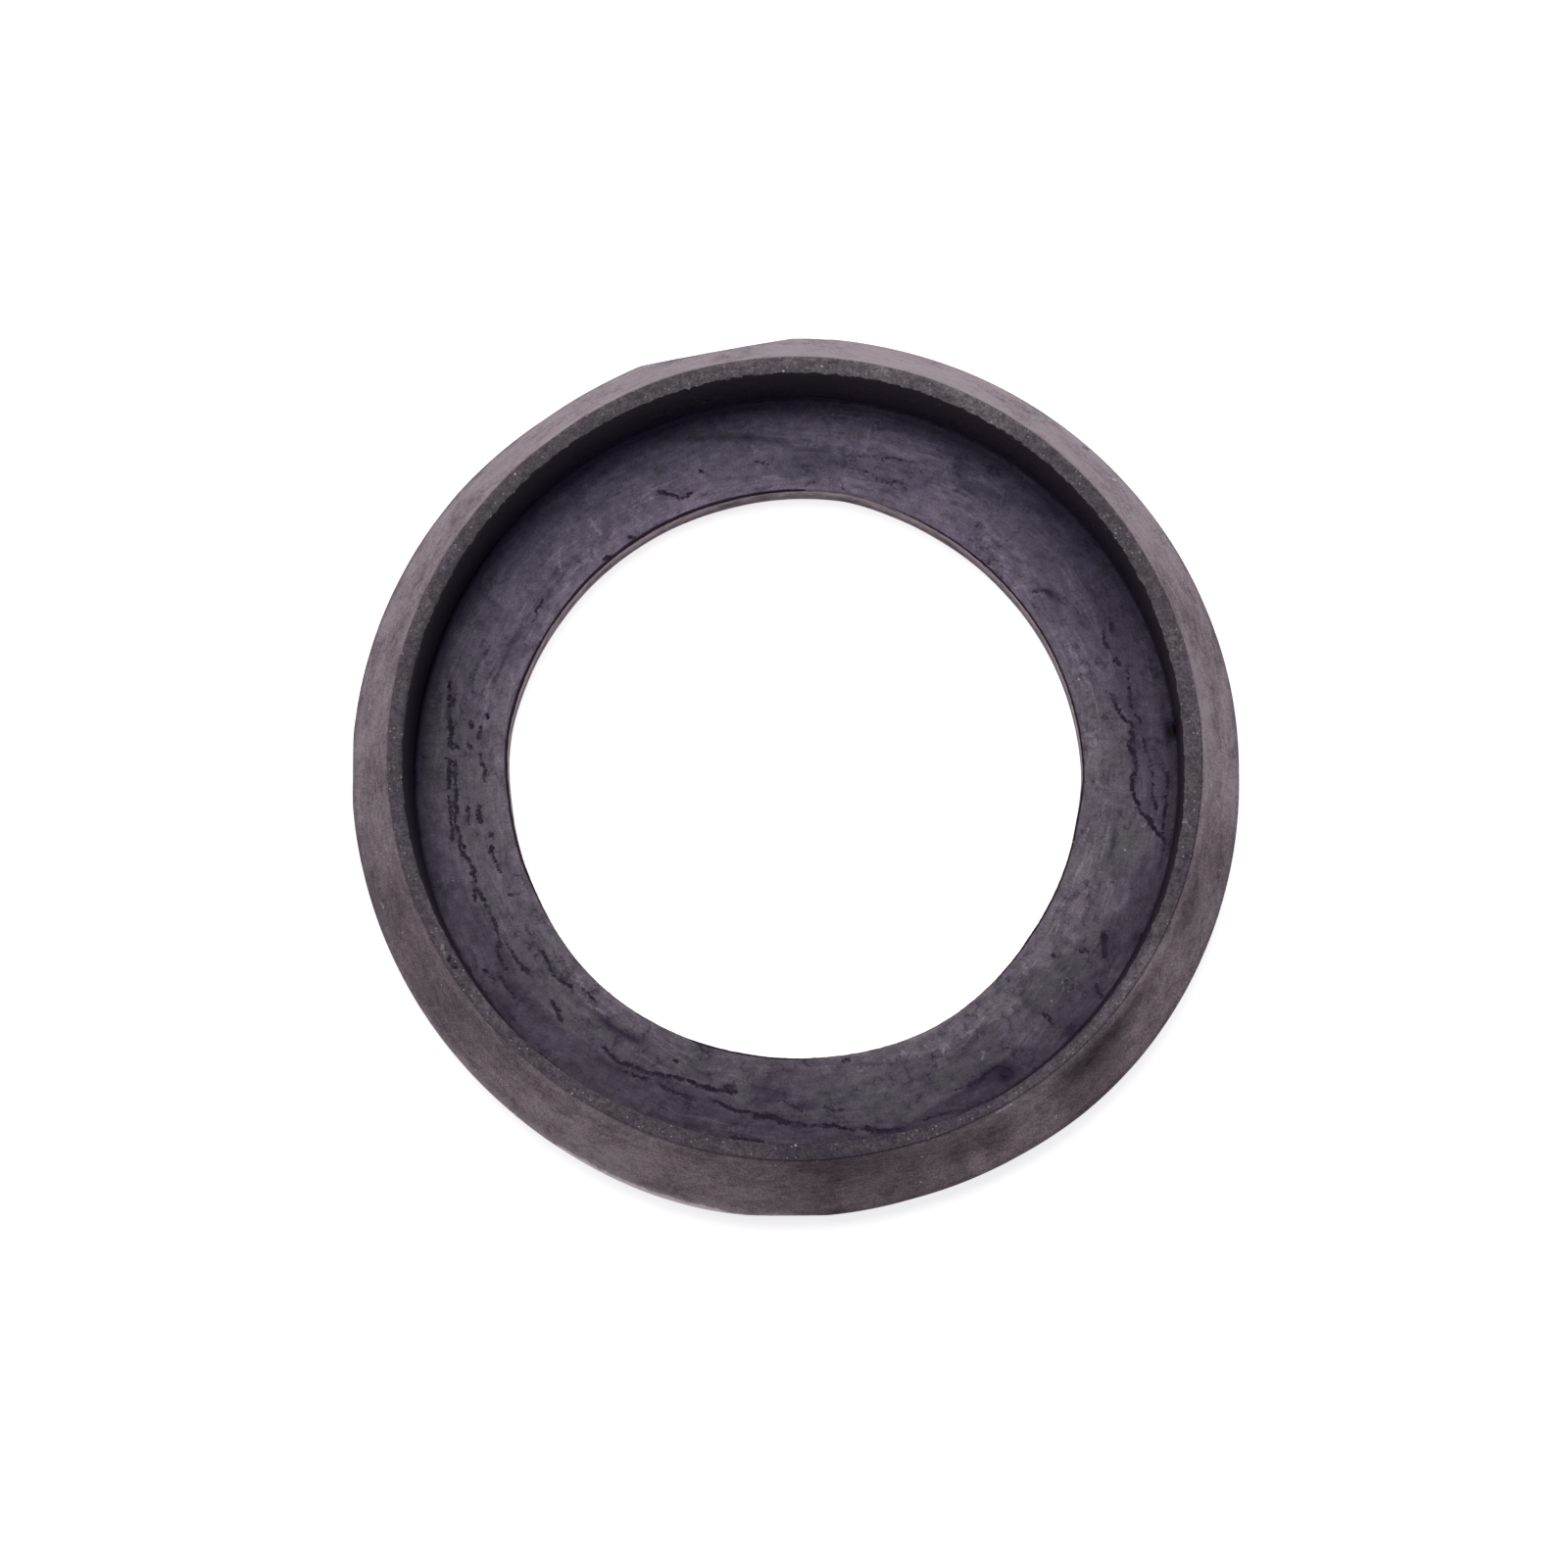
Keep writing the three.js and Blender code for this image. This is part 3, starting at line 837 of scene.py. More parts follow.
        lift = seat_share * (self.seat_waves * waves + self.seat_ripples * ripples)
        lift = lift - seat_share * self.crease_depth * soft_step(crease, 0.3, 0.62)
        land_depth = self.land_wear + self.land_grit * abs(grit) + self.land_ripples * abs(ripples)
        lift = lift - land_share * land_depth
        push = bevel_share * (self.bevel_waves * waves + self.bevel_ripples * ripples)

        near_rim = np.exp(-(((at.height - section.rim_height) / 0.5) ** 2))
        near_mouth = near_rim * np.exp(-(((at.radius - section.mouth_radius) / 0.35) ** 2))
        raggedness = 0.6 + 0.4 * np.sin(np.radians(at.angle))
        push = push + near_mouth * raggedness * (self.mouth_grit * grit + self.mouth_ripples * ripples)
        near_bore = np.exp(-(((at.height - section.seat_thickness) / 0.5) ** 2))
        near_bore = near_bore * np.exp(-(((at.radius - section.bore_radius) / 0.4) ** 2))
        return lift, push + near_bore * (self.bore_grit * grit + self.bore_ripples * ripples)

    @staticmethod
    def _noise(at: RingPlaces, scale: float, offset: tuple[float, float, float]) -> np.ndarray:
        """Read a smooth noise from -1 to 1 at every place, at a scale in features for each millimetre."""
        return np.array([noise.noise(Vector(place) * scale + Vector(offset)) for place in at.places])

    def _unevenness(self, at: RingPlaces) -> np.ndarray:
        """Work out how far the ring's edges are from round.

        Args:
            at: Places of the vertices.

        Returns:
            How far each vertex moves out from the axis.
        """
        section = self.section
        outer_share = soft_step(at.radius, section.mouth_radius, section.widest_radius - 0.5)
        bore_share = 1.0 - soft_step(at.radius, section.bore_radius + 0.3, section.bore_radius + 5.0)
        recess_depth = section.rim_height - section.seat_thickness
        up = np.clip((at.height - section.seat_thickness) / recess_depth, 0.0, 1.0)
        over_land = np.clip((at.radius - section.mouth_radius) / section.land_width, 0.0, 1.0)
        moved = outer_share * self._round_table(at.angle, self.outer_shift)
        moved += bore_share * self._round_table(at.angle, self.bore_shift)
        moved += up * (1.0 - over_land) * self._round_table(at.angle, self.mouth_shift)
        return moved + up * over_land * self._round_table(at.angle, self.rim_shift)

    def _trim_flat(self, places: np.ndarray) -> np.ndarray:
        """Cut the widest edge along a straight line on the far side.

        Args:
            places: Places of the vertices.

        Returns:
            The places after the cut.
        """
        outward = np.array([cos(radians(self.flat_angle)), sin(radians(self.flat_angle))])
        above_edge = places[:, 2] - self.section.widest_edge_height
        limit = self.section.widest_radius - self.flat_depth
        limit = limit - above_edge * tan(radians(self.flat_lean_degrees))
        excess = np.clip(places[:, :2] @ outward - limit, 0.0, None)
        excess[places[:, 2] > self.flat_top] = 0.0
        trimmed = places.copy()
        trimmed[:, :2] -= excess[:, None] * outward
        return trimmed

    def _inside_box(self, places: np.ndarray) -> np.ndarray:
        """Keep every vertex inside the box of the frame's ring."""
        reach = self.section.widest_radius
        return np.clip(places, (-reach, -reach, 0.0), (reach, reach, self.section.rim_height))

    def _write(self, name: str, values: np.ndarray) -> None:
        """Write a point attribute, one value for each vertex."""
        attribute = self.mesh.attributes.new(name, "FLOAT", "POINT")
        attribute.data.foreach_set("value", values.astype(np.float32))

    @staticmethod
    def _distance(points: np.ndarray, path: tuple[RingPoint, ...]) -> np.ndarray:
        """Measure how far points lie from a path on the ring.

        Args:
            points: Points seen from above.
            path: The path's points of angle and radius.

        Returns:
            The distance of each point.
        """
        stops = [np.array([r * cos(radians(a)), r * sin(radians(a))]) for a, r in path]
        nearest = np.full(len(points), np.inf)
        for start, end in zip(stops, stops[1:]):
            nearest = np.minimum(nearest, distance_to_stretch(points, start, end))
        return nearest

    @staticmethod
    def _patch_share(patch: Patch, at: RingPlaces) -> np.ndarray:
        """Find how strongly a patch marks each vertex.

        Args:
            patch: The patch.
            at: Places of the vertices.

        Returns:
            The patch's strength at each vertex.
        """
        turn = (at.angle - patch.angle + 180.0) % 360.0 - 180.0
        along = np.radians(turn) * patch.radius / patch.along
        across = (at.radius - patch.radius) / patch.across
        return patch.strength * np.exp(-(along**2) - across**2)

    @staticmethod
    def _round_table(angle: np.ndarray, stops: tuple[RingPoint, ...]) -> np.ndarray:
        """Read a value between stops that go once round the ring.

        Args:
            angle: Where to read it, in degrees.
            stops: Angles and the value at each.

        Returns:
            The value at each angle, turning smoothly at the stops.
        """
        places = np.array([stop[0] for stop in stops]) % 360.0
        values = np.array([stop[1] for stop in stops])
        order = np.argsort(places)
        fine = np.arange(0.0, 360.0, 0.5)
        straight = np.interp(fine, places[order], values[order], period=360.0)
        blur = np.hanning(9)
        wrapped = np.concatenate([straight[-4:], straight, straight[:4]])
        smooth = np.convolve(wrapped, blur / blur.sum(), mode="valid")
        return np.interp(angle % 360.0, fine, smooth, period=360.0)


class Bench:
    """A node tree, with short calls that place nodes and join them."""

    spacing = 190.0

    def __init__(self, tree: bpy.types.NodeTree) -> None:
        """Take a node tree to work on."""
        self.tree = tree

    def place(self, kind: str, inputs: dict[Any, Any] | None = None, **settings: Any) -> bpy.types.Node:
        """Add a node.

        Args:
            kind: The node's type.
            inputs: A value, or a socket to link, for each input by name or number.
            **settings: The node's own settings.

        Returns:
            The node.
        """
        node = self.tree.nodes.new(kind)
        node.location = (len(self.tree.nodes) * self.spacing, 0.0)
        for name, value in settings.items():
            setattr(node, name, value)
        for key, value in (inputs or {}).items():
            self.feed(node.inputs[key], value)
        return node

    def feed(self, socket: bpy.types.NodeSocket, value: Any) -> None:
        """Link a socket or set its value.

        Args:
            socket: The input.
            value: Another node's output, or a plain value.
        """
        if isinstance(value, bpy.types.NodeSocket):
            self.tree.links.new(value, socket)
        else:
            socket.default_value = value

    def reckon(
        self, operation: str, first: Any, second: Any = 0.0, clamp: bool = False
    ) -> bpy.types.NodeSocket:
        """Add a Math node for values or sockets, and give its result, kept from 0 to 1 if asked."""
        node = self.place("ShaderNodeMath", {0: first, 1: second}, operation=operation, use_clamp=clamp)
        return node.outputs[0]

    def arrange(self, operation: str, first: Any, second: Any) -> bpy.types.NodeSocket:
        """Add a Vector Math node for two vectors, and give the vector that comes out."""
        return self.place("ShaderNodeVectorMath", {0: first, 1: second}, operation=operation).outputs[0]

    def scaled(self, vector: Any, scale: Any) -> bpy.types.NodeSocket:
        """Add a Vector Math node that scales a vector."""
        return self.place("ShaderNodeVectorMath", {0: vector, "Scale": scale}, operation="SCALE").outputs[0]

    def ease(
        self, value: Any, low: float, high: float, to_low: float = 0.0, to_high: float = 1.0
    ) -> bpy.types.NodeSocket:
        """Add a Map Range node that turns one span into another with soft ends."""
        inputs = {"Value": value, "From Min": low, "From Max": high, "To Min": to_low, "To Max": to_high}
        return self.place("ShaderNodeMapRange", inputs, interpolation_type="SMOOTHSTEP").outputs[0]

    def clouds(self, vector: Any, scale: Any, detail: float, roughness: float) -> bpy.types.NodeSocket:
        """Add a Noise Texture node, at a scale in features for each millimetre, and give its value."""
        inputs = {"Vector": vector, "Scale": scale, "Detail": detail, "Roughness": roughness}
        return self.place("ShaderNodeTexNoise", inputs).outputs[0]

    def blend(self, share: Any, first: Any, second: Any, kind: str = "MIX") -> bpy.types.NodeSocket:
        """Add a Mix node that takes a share of the second colour, blended as `kind` says."""
        inputs = {0: share, 6: first, 7: second}
        return self.place("ShaderNodeMix", inputs, data_type="RGBA", blend_type=kind).outputs[2]


class SharedEffects:
    """Node groups that the finishes share, each built once."""

    streak_radius = 40.0
    height_share = 0.69
    wobble = 2.5
    darkest_tone = 0.1

    @classmethod
    def group(
        cls, name: str, vectors: tuple[str, ...], numbers: tuple[str, ...], results: dict[str, str]
    ) -> tuple[Bench, Any, Any]:
        """Start a node group.

        Args:
            name: The group's name.
            vectors: Names of its vector inputs.
            numbers: Names of its number inputs.
            results: Socket type of each output.

        Returns:
            The group's bench, its input node and its output node.
        """
        tree = bpy.data.node_groups.new(name, "ShaderNodeTree")
        for label in vectors:
            tree.interface.new_socket(label, in_out="INPUT", socket_type=VECTOR)
        for label in numbers:
            tree.interface.new_socket(label, in_out="INPUT", socket_type=NUMBER)
        for label, kind in results.items():
            tree.interface.new_socket(label, in_out="OUTPUT", socket_type=kind)
        bench = Bench(tree)
        return bench, bench.place("NodeGroupInput"), bench.place("NodeGroupOutput")

    @classmethod
    @cache
    def turned_places(cls) -> bpy.types.NodeTree:
        """Give places in millimetres, plain and drawn out round the ring.

        Returns:
            The node group.
        """
        results = {"Plain": VECTOR, "Drawn Out": VECTOR}
        bench, given, result = cls.group("turned places", ("Position",), ("Stretch",), results)
        plain = bench.scaled(given.outputs["Position"], 1.0 / MM)
        flat = bench.arrange("MULTIPLY", plain, (1.0, 1.0, 0.0))
        radius = bench.place("ShaderNodeVectorMath", {0: flat}, operation="LENGTH").outputs["Value"]
        direction = bench.place("ShaderNodeVectorMath", {0: flat}, operation="NORMALIZE").outputs[0]
        ring = bench.scaled(direction, bench.reckon("DIVIDE", cls.streak_radius, given.outputs["Stretch"]))
        height = bench.place("ShaderNodeSeparateXYZ", {0: plain}).outputs["Z"]
        across = bench.reckon("SUBTRACT", radius, bench.reckon("MULTIPLY", height, cls.height_share))
        wobble = bench.reckon("MULTIPLY", bench.clouds(plain, 0.12, 1.0, 0.5), cls.wobble)
        lifted = bench.place("ShaderNodeCombineXYZ", {"Z": bench.reckon("ADD", across, wobble)}).outputs[0]
        bench.feed(result.inputs["Plain"], plain)
        bench.feed(result.inputs["Drawn Out"], bench.arrange("ADD", ring, lifted))
        return bench.tree

    @classmethod
    @cache
    def skin_tone(cls) -> bpy.types.NodeTree:
        """Vary a tone round 1 with clouds, streaks round the ring, fine mottling, veins and flakes.

        Returns:
            The node group.
        """
        strengths = ("Cloud", "Streak", "Mottle", "Vein", "Flaking")
        results = dict.fromkeys(("Tone", "Tint", "Flake"), NUMBER)
        bench, given, result = cls.group("skin tone", ("Plain", "Drawn Out"), strengths, results)
        plain = given.outputs["Plain"]
        drawn = given.outputs["Drawn Out"]
        pale_vein = cls._vein(bench, drawn, 0.55, 17.0)
        dark_vein = cls._vein(bench, plain, 0.42, 0.0)
        veins = bench.reckon("SUBTRACT", pale_vein, dark_vein)
        tone = bench.reckon("ADD", bench.reckon("MULTIPLY", veins, given.outputs["Vein"]), 1.0)
        cloud = bench.clouds(plain, 0.17, 5.0, 0.62)
        streak = bench.clouds(drawn, 2.0, 4.0, 0.6)
        mottle = bench.clouds(plain, 1.0, 5.0, 0.6)
        for value, label in ((cloud, "Cloud"), (streak, "Streak"), (mottle, "Mottle")):
            swing = bench.ease(value, 0.28, 0.72, -1.0, 1.0)
            tone = bench.reckon("ADD", tone, bench.reckon("MULTIPLY", swing, given.outputs[label]))
        flake = cls._flake(bench, plain)
        flaked = bench.reckon("MULTIPLY", bench.reckon("SUBTRACT", flake, 0.5), given.outputs["Flaking"])
        tone = bench.reckon("MAXIMUM", bench.reckon("ADD", tone, flaked), cls.darkest_tone)
        bench.feed(result.inputs["Flake"], flake)
        bench.feed(result.inputs["Tone"], tone)
        bench.feed(result.inputs["Tint"], bench.ease(bench.clouds(plain, 0.30, 5.0, 0.66), 0.3, 0.7))
        return bench.tree

    @staticmethod
    def _vein(bench: Bench, vector: Any, scale: float, offset: float) -> bpy.types.NodeSocket:
        """Draw thin wandering lines where a noise passes its middle, broken up by a second noise.

        Args:
            bench: The group's bench.
            vector: Where the noise is read.
            scale: Its scale, in features for each millimetre.
            offset: How far the noise is moved, so that two sets of veins differ.

        Returns:
            The share of vein.
        """
        moved = bench.arrange("ADD", vector, (offset, offset, offset))
        ridge = bench.reckon("ABSOLUTE", bench.reckon("SUBTRACT", bench.clouds(moved, scale, 3.0, 0.6), 0.5))
        line = bench.ease(ridge, 0.0, 0.045, 1.0, 0.0)
        broken = bench.ease(bench.clouds(moved, scale * 0.9, 1.0, 0.5), 0.5, 0.62)
        return bench.reckon("MULTIPLY", line, broken)

    @staticmethod
    def _flake(bench: Bench, vector: Any) -> bpy.types.NodeSocket:
        """Give every small angular flake of skin a chance value of its own.

        Args:
            bench: The group's bench.
            vector: Where the flakes are read.

        Returns:
            The value, from 0 to 1.
        """
        value: Any = 0.0
        for scale, share in ((0.75, 0.6), (1.9, 0.4)):
            bend = bench.place("ShaderNodeTexNoise", {"Vector": vector, "Scale": 1.6 * scale})
            bent = bench.arrange("ADD", bench.scaled(bend.outputs["Color"], 0.8 / scale), vector)
            cells = bench.place("ShaderNodeTexVoronoi", {"Vector": bent, "Scale": scale})
            chance = bench.place("ShaderNodeSeparateColor", {0: cells.outputs["Color"]}).outputs[0]
            value = bench.reckon("ADD", value, bench.reckon("MULTIPLY", chance, share))
        return value

    @classmethod
    @cache
    def dust(cls) -> bpy.types.NodeTree:
        """Scatter small round specks.

        Returns:
            The node group.
        """
        sizes = ("Spacing", "Size", "Share")
        bench, given, result = cls.group("dust", ("Plain",), sizes, {"Speck": NUMBER})
        scale = bench.reckon("DIVIDE", 1.0, given.outputs["Spacing"])
        cells = bench.place("ShaderNodeTexVoronoi", {"Vector": given.outputs["Plain"], "Scale": scale})
        size = bench.reckon("MULTIPLY", given.outputs["Size"], scale)
        inside = bench.ease(bench.reckon("DIVIDE", cells.outputs["Distance"], size), 0.6, 1.2, 1.0, 0.0)
        luck = bench.place("ShaderNodeSeparateColor", {0: cells.outputs["Color"]}).outputs[0]
        kept = bench.reckon("LESS_THAN", luck, given.outputs["Share"])
        bench.feed(result.inputs["Speck"], bench.reckon("MULTIPLY", inside, kept))
        return bench.tree

    @classmethod
    @cache
    def grain(cls) -> bpy.types.NodeTree:
        """Give the height of a fine pebbled grain.

        Returns:
            The node group.
        """
        bench, given, result = cls.group("grain", ("Plain",), ("Size",), {"Height": NUMBER})
        scale = bench.reckon("DIVIDE", 1.0, given.outputs["Size"])
        bench.feed(result.inputs["Height"], bench.clouds(given.outputs["Plain"], scale, 2.0, 0.6))
        return bench.tree


@dataclass(frozen=True)
class Specks:
    """Small pale specks on the skin: one at most in each cell of `spacing`, in a share of the cells."""

    spacing: float
    size: float
    share: float
    colour: Colour = (0.34, 0.33, 0.32)


@dataclass(frozen=True)
class RubberFinish:
    """Black rubber as one surface of the ring shows it.

    Colours are linear. A tint multiplies the skin's colour, and `far_light_tint` does so towards the far
    side, as a painted cooler light there.
    """

    name: str
    colour: Colour
    violet_colour: Colour = (0.069, 0.054, 0.078)
    # Colour of the dark lines, partly painted shade in the flow lines' grooves
    crease_and_shade_colour: Colour = (0.016, 0.009, 0.022)
    grey_tint: Colour = (0.985, 1.01, 0.955)
    violet_tint: Colour = (1.015, 0.985, 1.045)
    tint_by_level: float = 0.7
    far_light_tint: Colour = (1.0, 1.0, 1.0)
    far_distance: float = 28.0
    dark_tint: Colour = (0.97, 0.62, 1.40)
    scratch_and_glint_colour: Colour = (0.26, 0.235, 0.275)
    scratch_and_glint_raggedness: float = 0.9
    edge_strength: float = 0.92
    cloud: float = 0.12
    streak: float = 0.08
    mottle: float = 0.08
    vein: float = 0.0
    flaking: float = 0.0
    stretch: float = 9.0
    roughness: float = 0.55
    specular: float = 0.25
    film: float = 0.0
    film_roughness: float = 0.4
    film_index: float = 1.45
    grain_size: float = 0.22
    grain_depth: float = 0.012
    grain_colour: float = 0.15
    specks: tuple[Specks, ...] = (Specks(1.1, 0.12, 0.05),)

    def material(self) -> bpy.types.Material:
        """Build the material.

        Returns:
            The material.
        """
        material = bpy.data.materials.new(self.name)
        material.use_nodes = True
        bench = Bench(material.node_tree)
        shader = bench.tree.nodes["Principled BSDF"]
        position = bench.place("ShaderNodeTexCoord").outputs["Object"]
        place_inputs = {"Position": position, "Stretch": self.stretch}
        places = bench.place("ShaderNodeGroup", place_inputs, node_tree=SharedEffects.turned_places())
        plain = places.outputs["Plain"]
        tone_inputs = {
            "Plain": plain,
            "Drawn Out": places.outputs["Drawn Out"],
            "Cloud": self.cloud,
            "Streak": self.streak,
            "Mottle": self.mottle,
            "Vein": self.vein,
            "Flaking": self.flaking,
        }
        skin_tone = bench.place("ShaderNodeGroup", tone_inputs, node_tree=SharedEffects.skin_tone())
        tone = skin_tone.outputs["Tone"]
        grain_inputs = {"Plain": plain, "Size": self.grain_size}
        grain = bench.place("ShaderNodeGroup", grain_inputs, node_tree=SharedEffects.grain()).outputs[0]

        ragged = bench.clouds(plain, 2.6, 4.0, 0.7)
        flake = bench.reckon("SUBTRACT", skin_tone.outputs["Flake"], 0.5)
        crease = self._crease(bench, plain, ragged)
        scratch_and_glint = self._scratch_and_glint(bench, ragged)
        level = self._level(bench, tone, grain, flake)
        violet = self._violet(bench, plain, flake)
        skin = bench.blend(violet, (*self.colour, 1.0), (*self.violet_colour, 1.0))
        skin = bench.scaled(self._tinted(bench, skin, plain, level, skin_tone.outputs["Tint"]), level)
        skin = bench.blend(scratch_and_glint, skin, (*self.scratch_and_glint_colour, 1.0))
        skin = bench.blend(crease, skin, (*self.crease_and_shade_colour, 1.0))
        for specks in self.specks:
            sizes = {"Plain": plain, "Spacing": specks.spacing, "Size": specks.size, "Share": specks.share}
            speck = bench.place("ShaderNodeGroup", sizes, node_tree=SharedEffects.dust()).outputs[0]
            skin = bench.blend(speck, skin, (*specks.colour, 1.0))
        bench.feed(shader.inputs["Base Color"], skin)

        rough = bench.reckon("MULTIPLY", bench.reckon("SUBTRACT", tone, 1.0), 0.35)
        bench.feed(shader.inputs["Roughness"], bench.reckon("ADD", rough, self.roughness, clamp=True))
        shader.inputs["Specular IOR Level"].default_value = self.specular
        shader.inputs["Coat Roughness"].default_value = self.film_roughness
        shader.inputs["Coat IOR"].default_value = self.film_index
        if self.film > 0.0:
            bare = bench.reckon("SUBTRACT", 1.0, crease)
            # The film follows the level, so the painted highlights and shade in `shade` also raise and lower
            # its reflection.
            film = bench.reckon("MULTIPLY", bench.reckon("MULTIPLY", level, self.film), bare, clamp=True)
            bench.feed(shader.inputs["Coat Weight"], film)

        height = bench.reckon("SUBTRACT", grain, bench.reckon("MULTIPLY", crease, 1.5))
        bump = bench.place("ShaderNodeBump", {"Height": height, "Distance": self.grain_depth * MM})
        bench.feed(shader.inputs["Normal"], bump.outputs[0])
        return material

    def _crease(self, bench: Bench, plain: Any, ragged: Any) -> bpy.types.NodeSocket:
        """Find how strongly the dark lines show.

        Args:
            bench: The material's bench.
            plain: Places in millimetres.
            ragged: The noise that breaks up the edges of lines.

        Returns:
            The share of dark line.
        """
        faded = bench.ease(bench.clouds(plain, 0.7, 2.0, 0.6), 0.30, 0.50, 0.5, 1.0)
        crease = bench.reckon("ADD", self._attribute(bench, "crease"), bench.reckon("MULTIPLY", ragged, 0.9))
        crease = bench.reckon("MULTIPLY", bench.ease(crease, 0.84, 1.00), faded)
        edge = bench.reckon("ADD", self._attribute(bench, "edge"), bench.reckon("MULTIPLY", ragged, 0.10))
        edge = bench.ease(edge, 0.52, 0.60, 0.0, self.edge_strength)
        return bench.reckon("MAXIMUM", crease, edge)

    def _scratch_and_glint(self, bench: Bench, ragged: Any) -> bpy.types.NodeSocket:
        """Find how strongly the pale lines show, which include a painted highlight along the widest edge.

        Args:
            bench: The material's bench.
            ragged: The noise that breaks up the edges of lines.

        Returns:
            The share of pale line.
        """
        shift = bench.reckon("MULTIPLY", bench.reckon("SUBTRACT", ragged, 0.5), self.scratch_and_glint_raggedness)
        scratch_and_glint = bench.reckon("ADD", self._attribute(bench, "scratch_and_glint"), shift)
        return bench.ease(scratch_and_glint, 0.41, 0.59, 0.0, 0.65)

    def _level(self, bench: Bench, tone: Any, grain: Any, flake: Any) -> bpy.types.NodeSocket:
        """Find how light the skin is, where 1 is as light as the finish's own colour.

        Args:
            bench: The material's bench.
            tone: The skin's varied tone.
            grain: The height of the grain.
            flake: Chance values of the flakes, from -0.5 to 0.5.

        Returns:
            The level.
        """
        # `shade` carries the skin's own tone together with painted shadow and highlights.
        shade = bench.place("ShaderNodeMapRange", {0: self._attribute(bench, "shade"), 3: -1.0}).outputs[0]
        pale = bench.reckon("ADD", self._attribute(bench, "pale"), bench.reckon("MULTIPLY", flake, 0.45))
        pale = bench.reckon("MULTIPLY", bench.ease(pale, 0.46, 0.54), self._attribute(bench, "pale_tone"))
        shade = bench.reckon("ADD", shade, pale)
        grained = bench.ease(grain, 0.3, 0.7, 1.0 - self.grain_colour, 1.0 + self.grain_colour)
        level = bench.reckon("MULTIPLY", tone, bench.reckon("ADD", shade, 1.0))
        return bench.reckon("MULTIPLY", level, grained)

    def _violet(self, bench: Bench, plain: Any, flake: Any) -> bpy.types.NodeSocket:
        """Find where the skin is violet, with a border of flakes.

        Args:
            bench: The material's bench.
            plain: Places in millimetres.
            flake: Chance values of the flakes, from -0.5 to 0.5.

        Returns:
            The share of violet skin.
        """
        patchy = bench.ease(bench.clouds(plain, 0.9, 3.0, 0.6), 0.3, 0.7, 0.65, 1.0)
        outward = self._attribute(bench, "violet")
        violet = bench.reckon("ADD", outward, bench.reckon("MULTIPLY", flake, 0.35))
        violet = bench.ease(violet, 0.42, 0.58, 0.0, 0.72)
        violet = bench.reckon("ADD", violet, bench.reckon("MULTIPLY", outward, 0.28))
        return bench.reckon("MULTIPLY", violet, patchy)

    def _tinted(self, bench: Bench, skin: Any, plain: Any, level: Any, chance: Any) -> bpy.types.NodeSocket:
        """Tint the skin by chance, by level where it is dark, and with painted cooler light on the far side.

        Args:
            bench: The material's bench.
            skin: The skin's colour.
            plain: Places in millimetres.
            level: How light the skin is.
            chance: The share of violet tint that is left to chance.

        Returns:
            The tinted colour.
        """
        paler = bench.reckon("MULTIPLY", bench.reckon("SUBTRACT", level, 1.0), self.tint_by_level)
        violet_share = bench.reckon("SUBTRACT", chance, paler, clamp=True)
        tint = bench.blend(violet_share, (*self.grey_tint, 1.0), (*self.violet_tint, 1.0))
        skin = bench.blend(1.0, skin, tint, "MULTIPLY")
        # Painted cooler light on the far side
        far = bench.place("ShaderNodeSeparateXYZ", {0: plain}).outputs["Y"]
        far_share = bench.ease(far, 0.0, self.far_distance)
        skin = bench.blend(far_share, skin, (*self.far_light_tint, 1.0), "MULTIPLY")
        darkness = bench.ease(level, 0.05, 0.60, 1.0, 0.0)
        return bench.blend(darkness, skin, (*self.dark_tint, 1.0), "MULTIPLY")

    @staticmethod
    def _attribute(bench: Bench, name: str) -> bpy.types.NodeSocket:
        """Read one of the ring's point attributes."""
        return bench.place("ShaderNodeAttribute", attribute_name=name).outputs["Fac"]


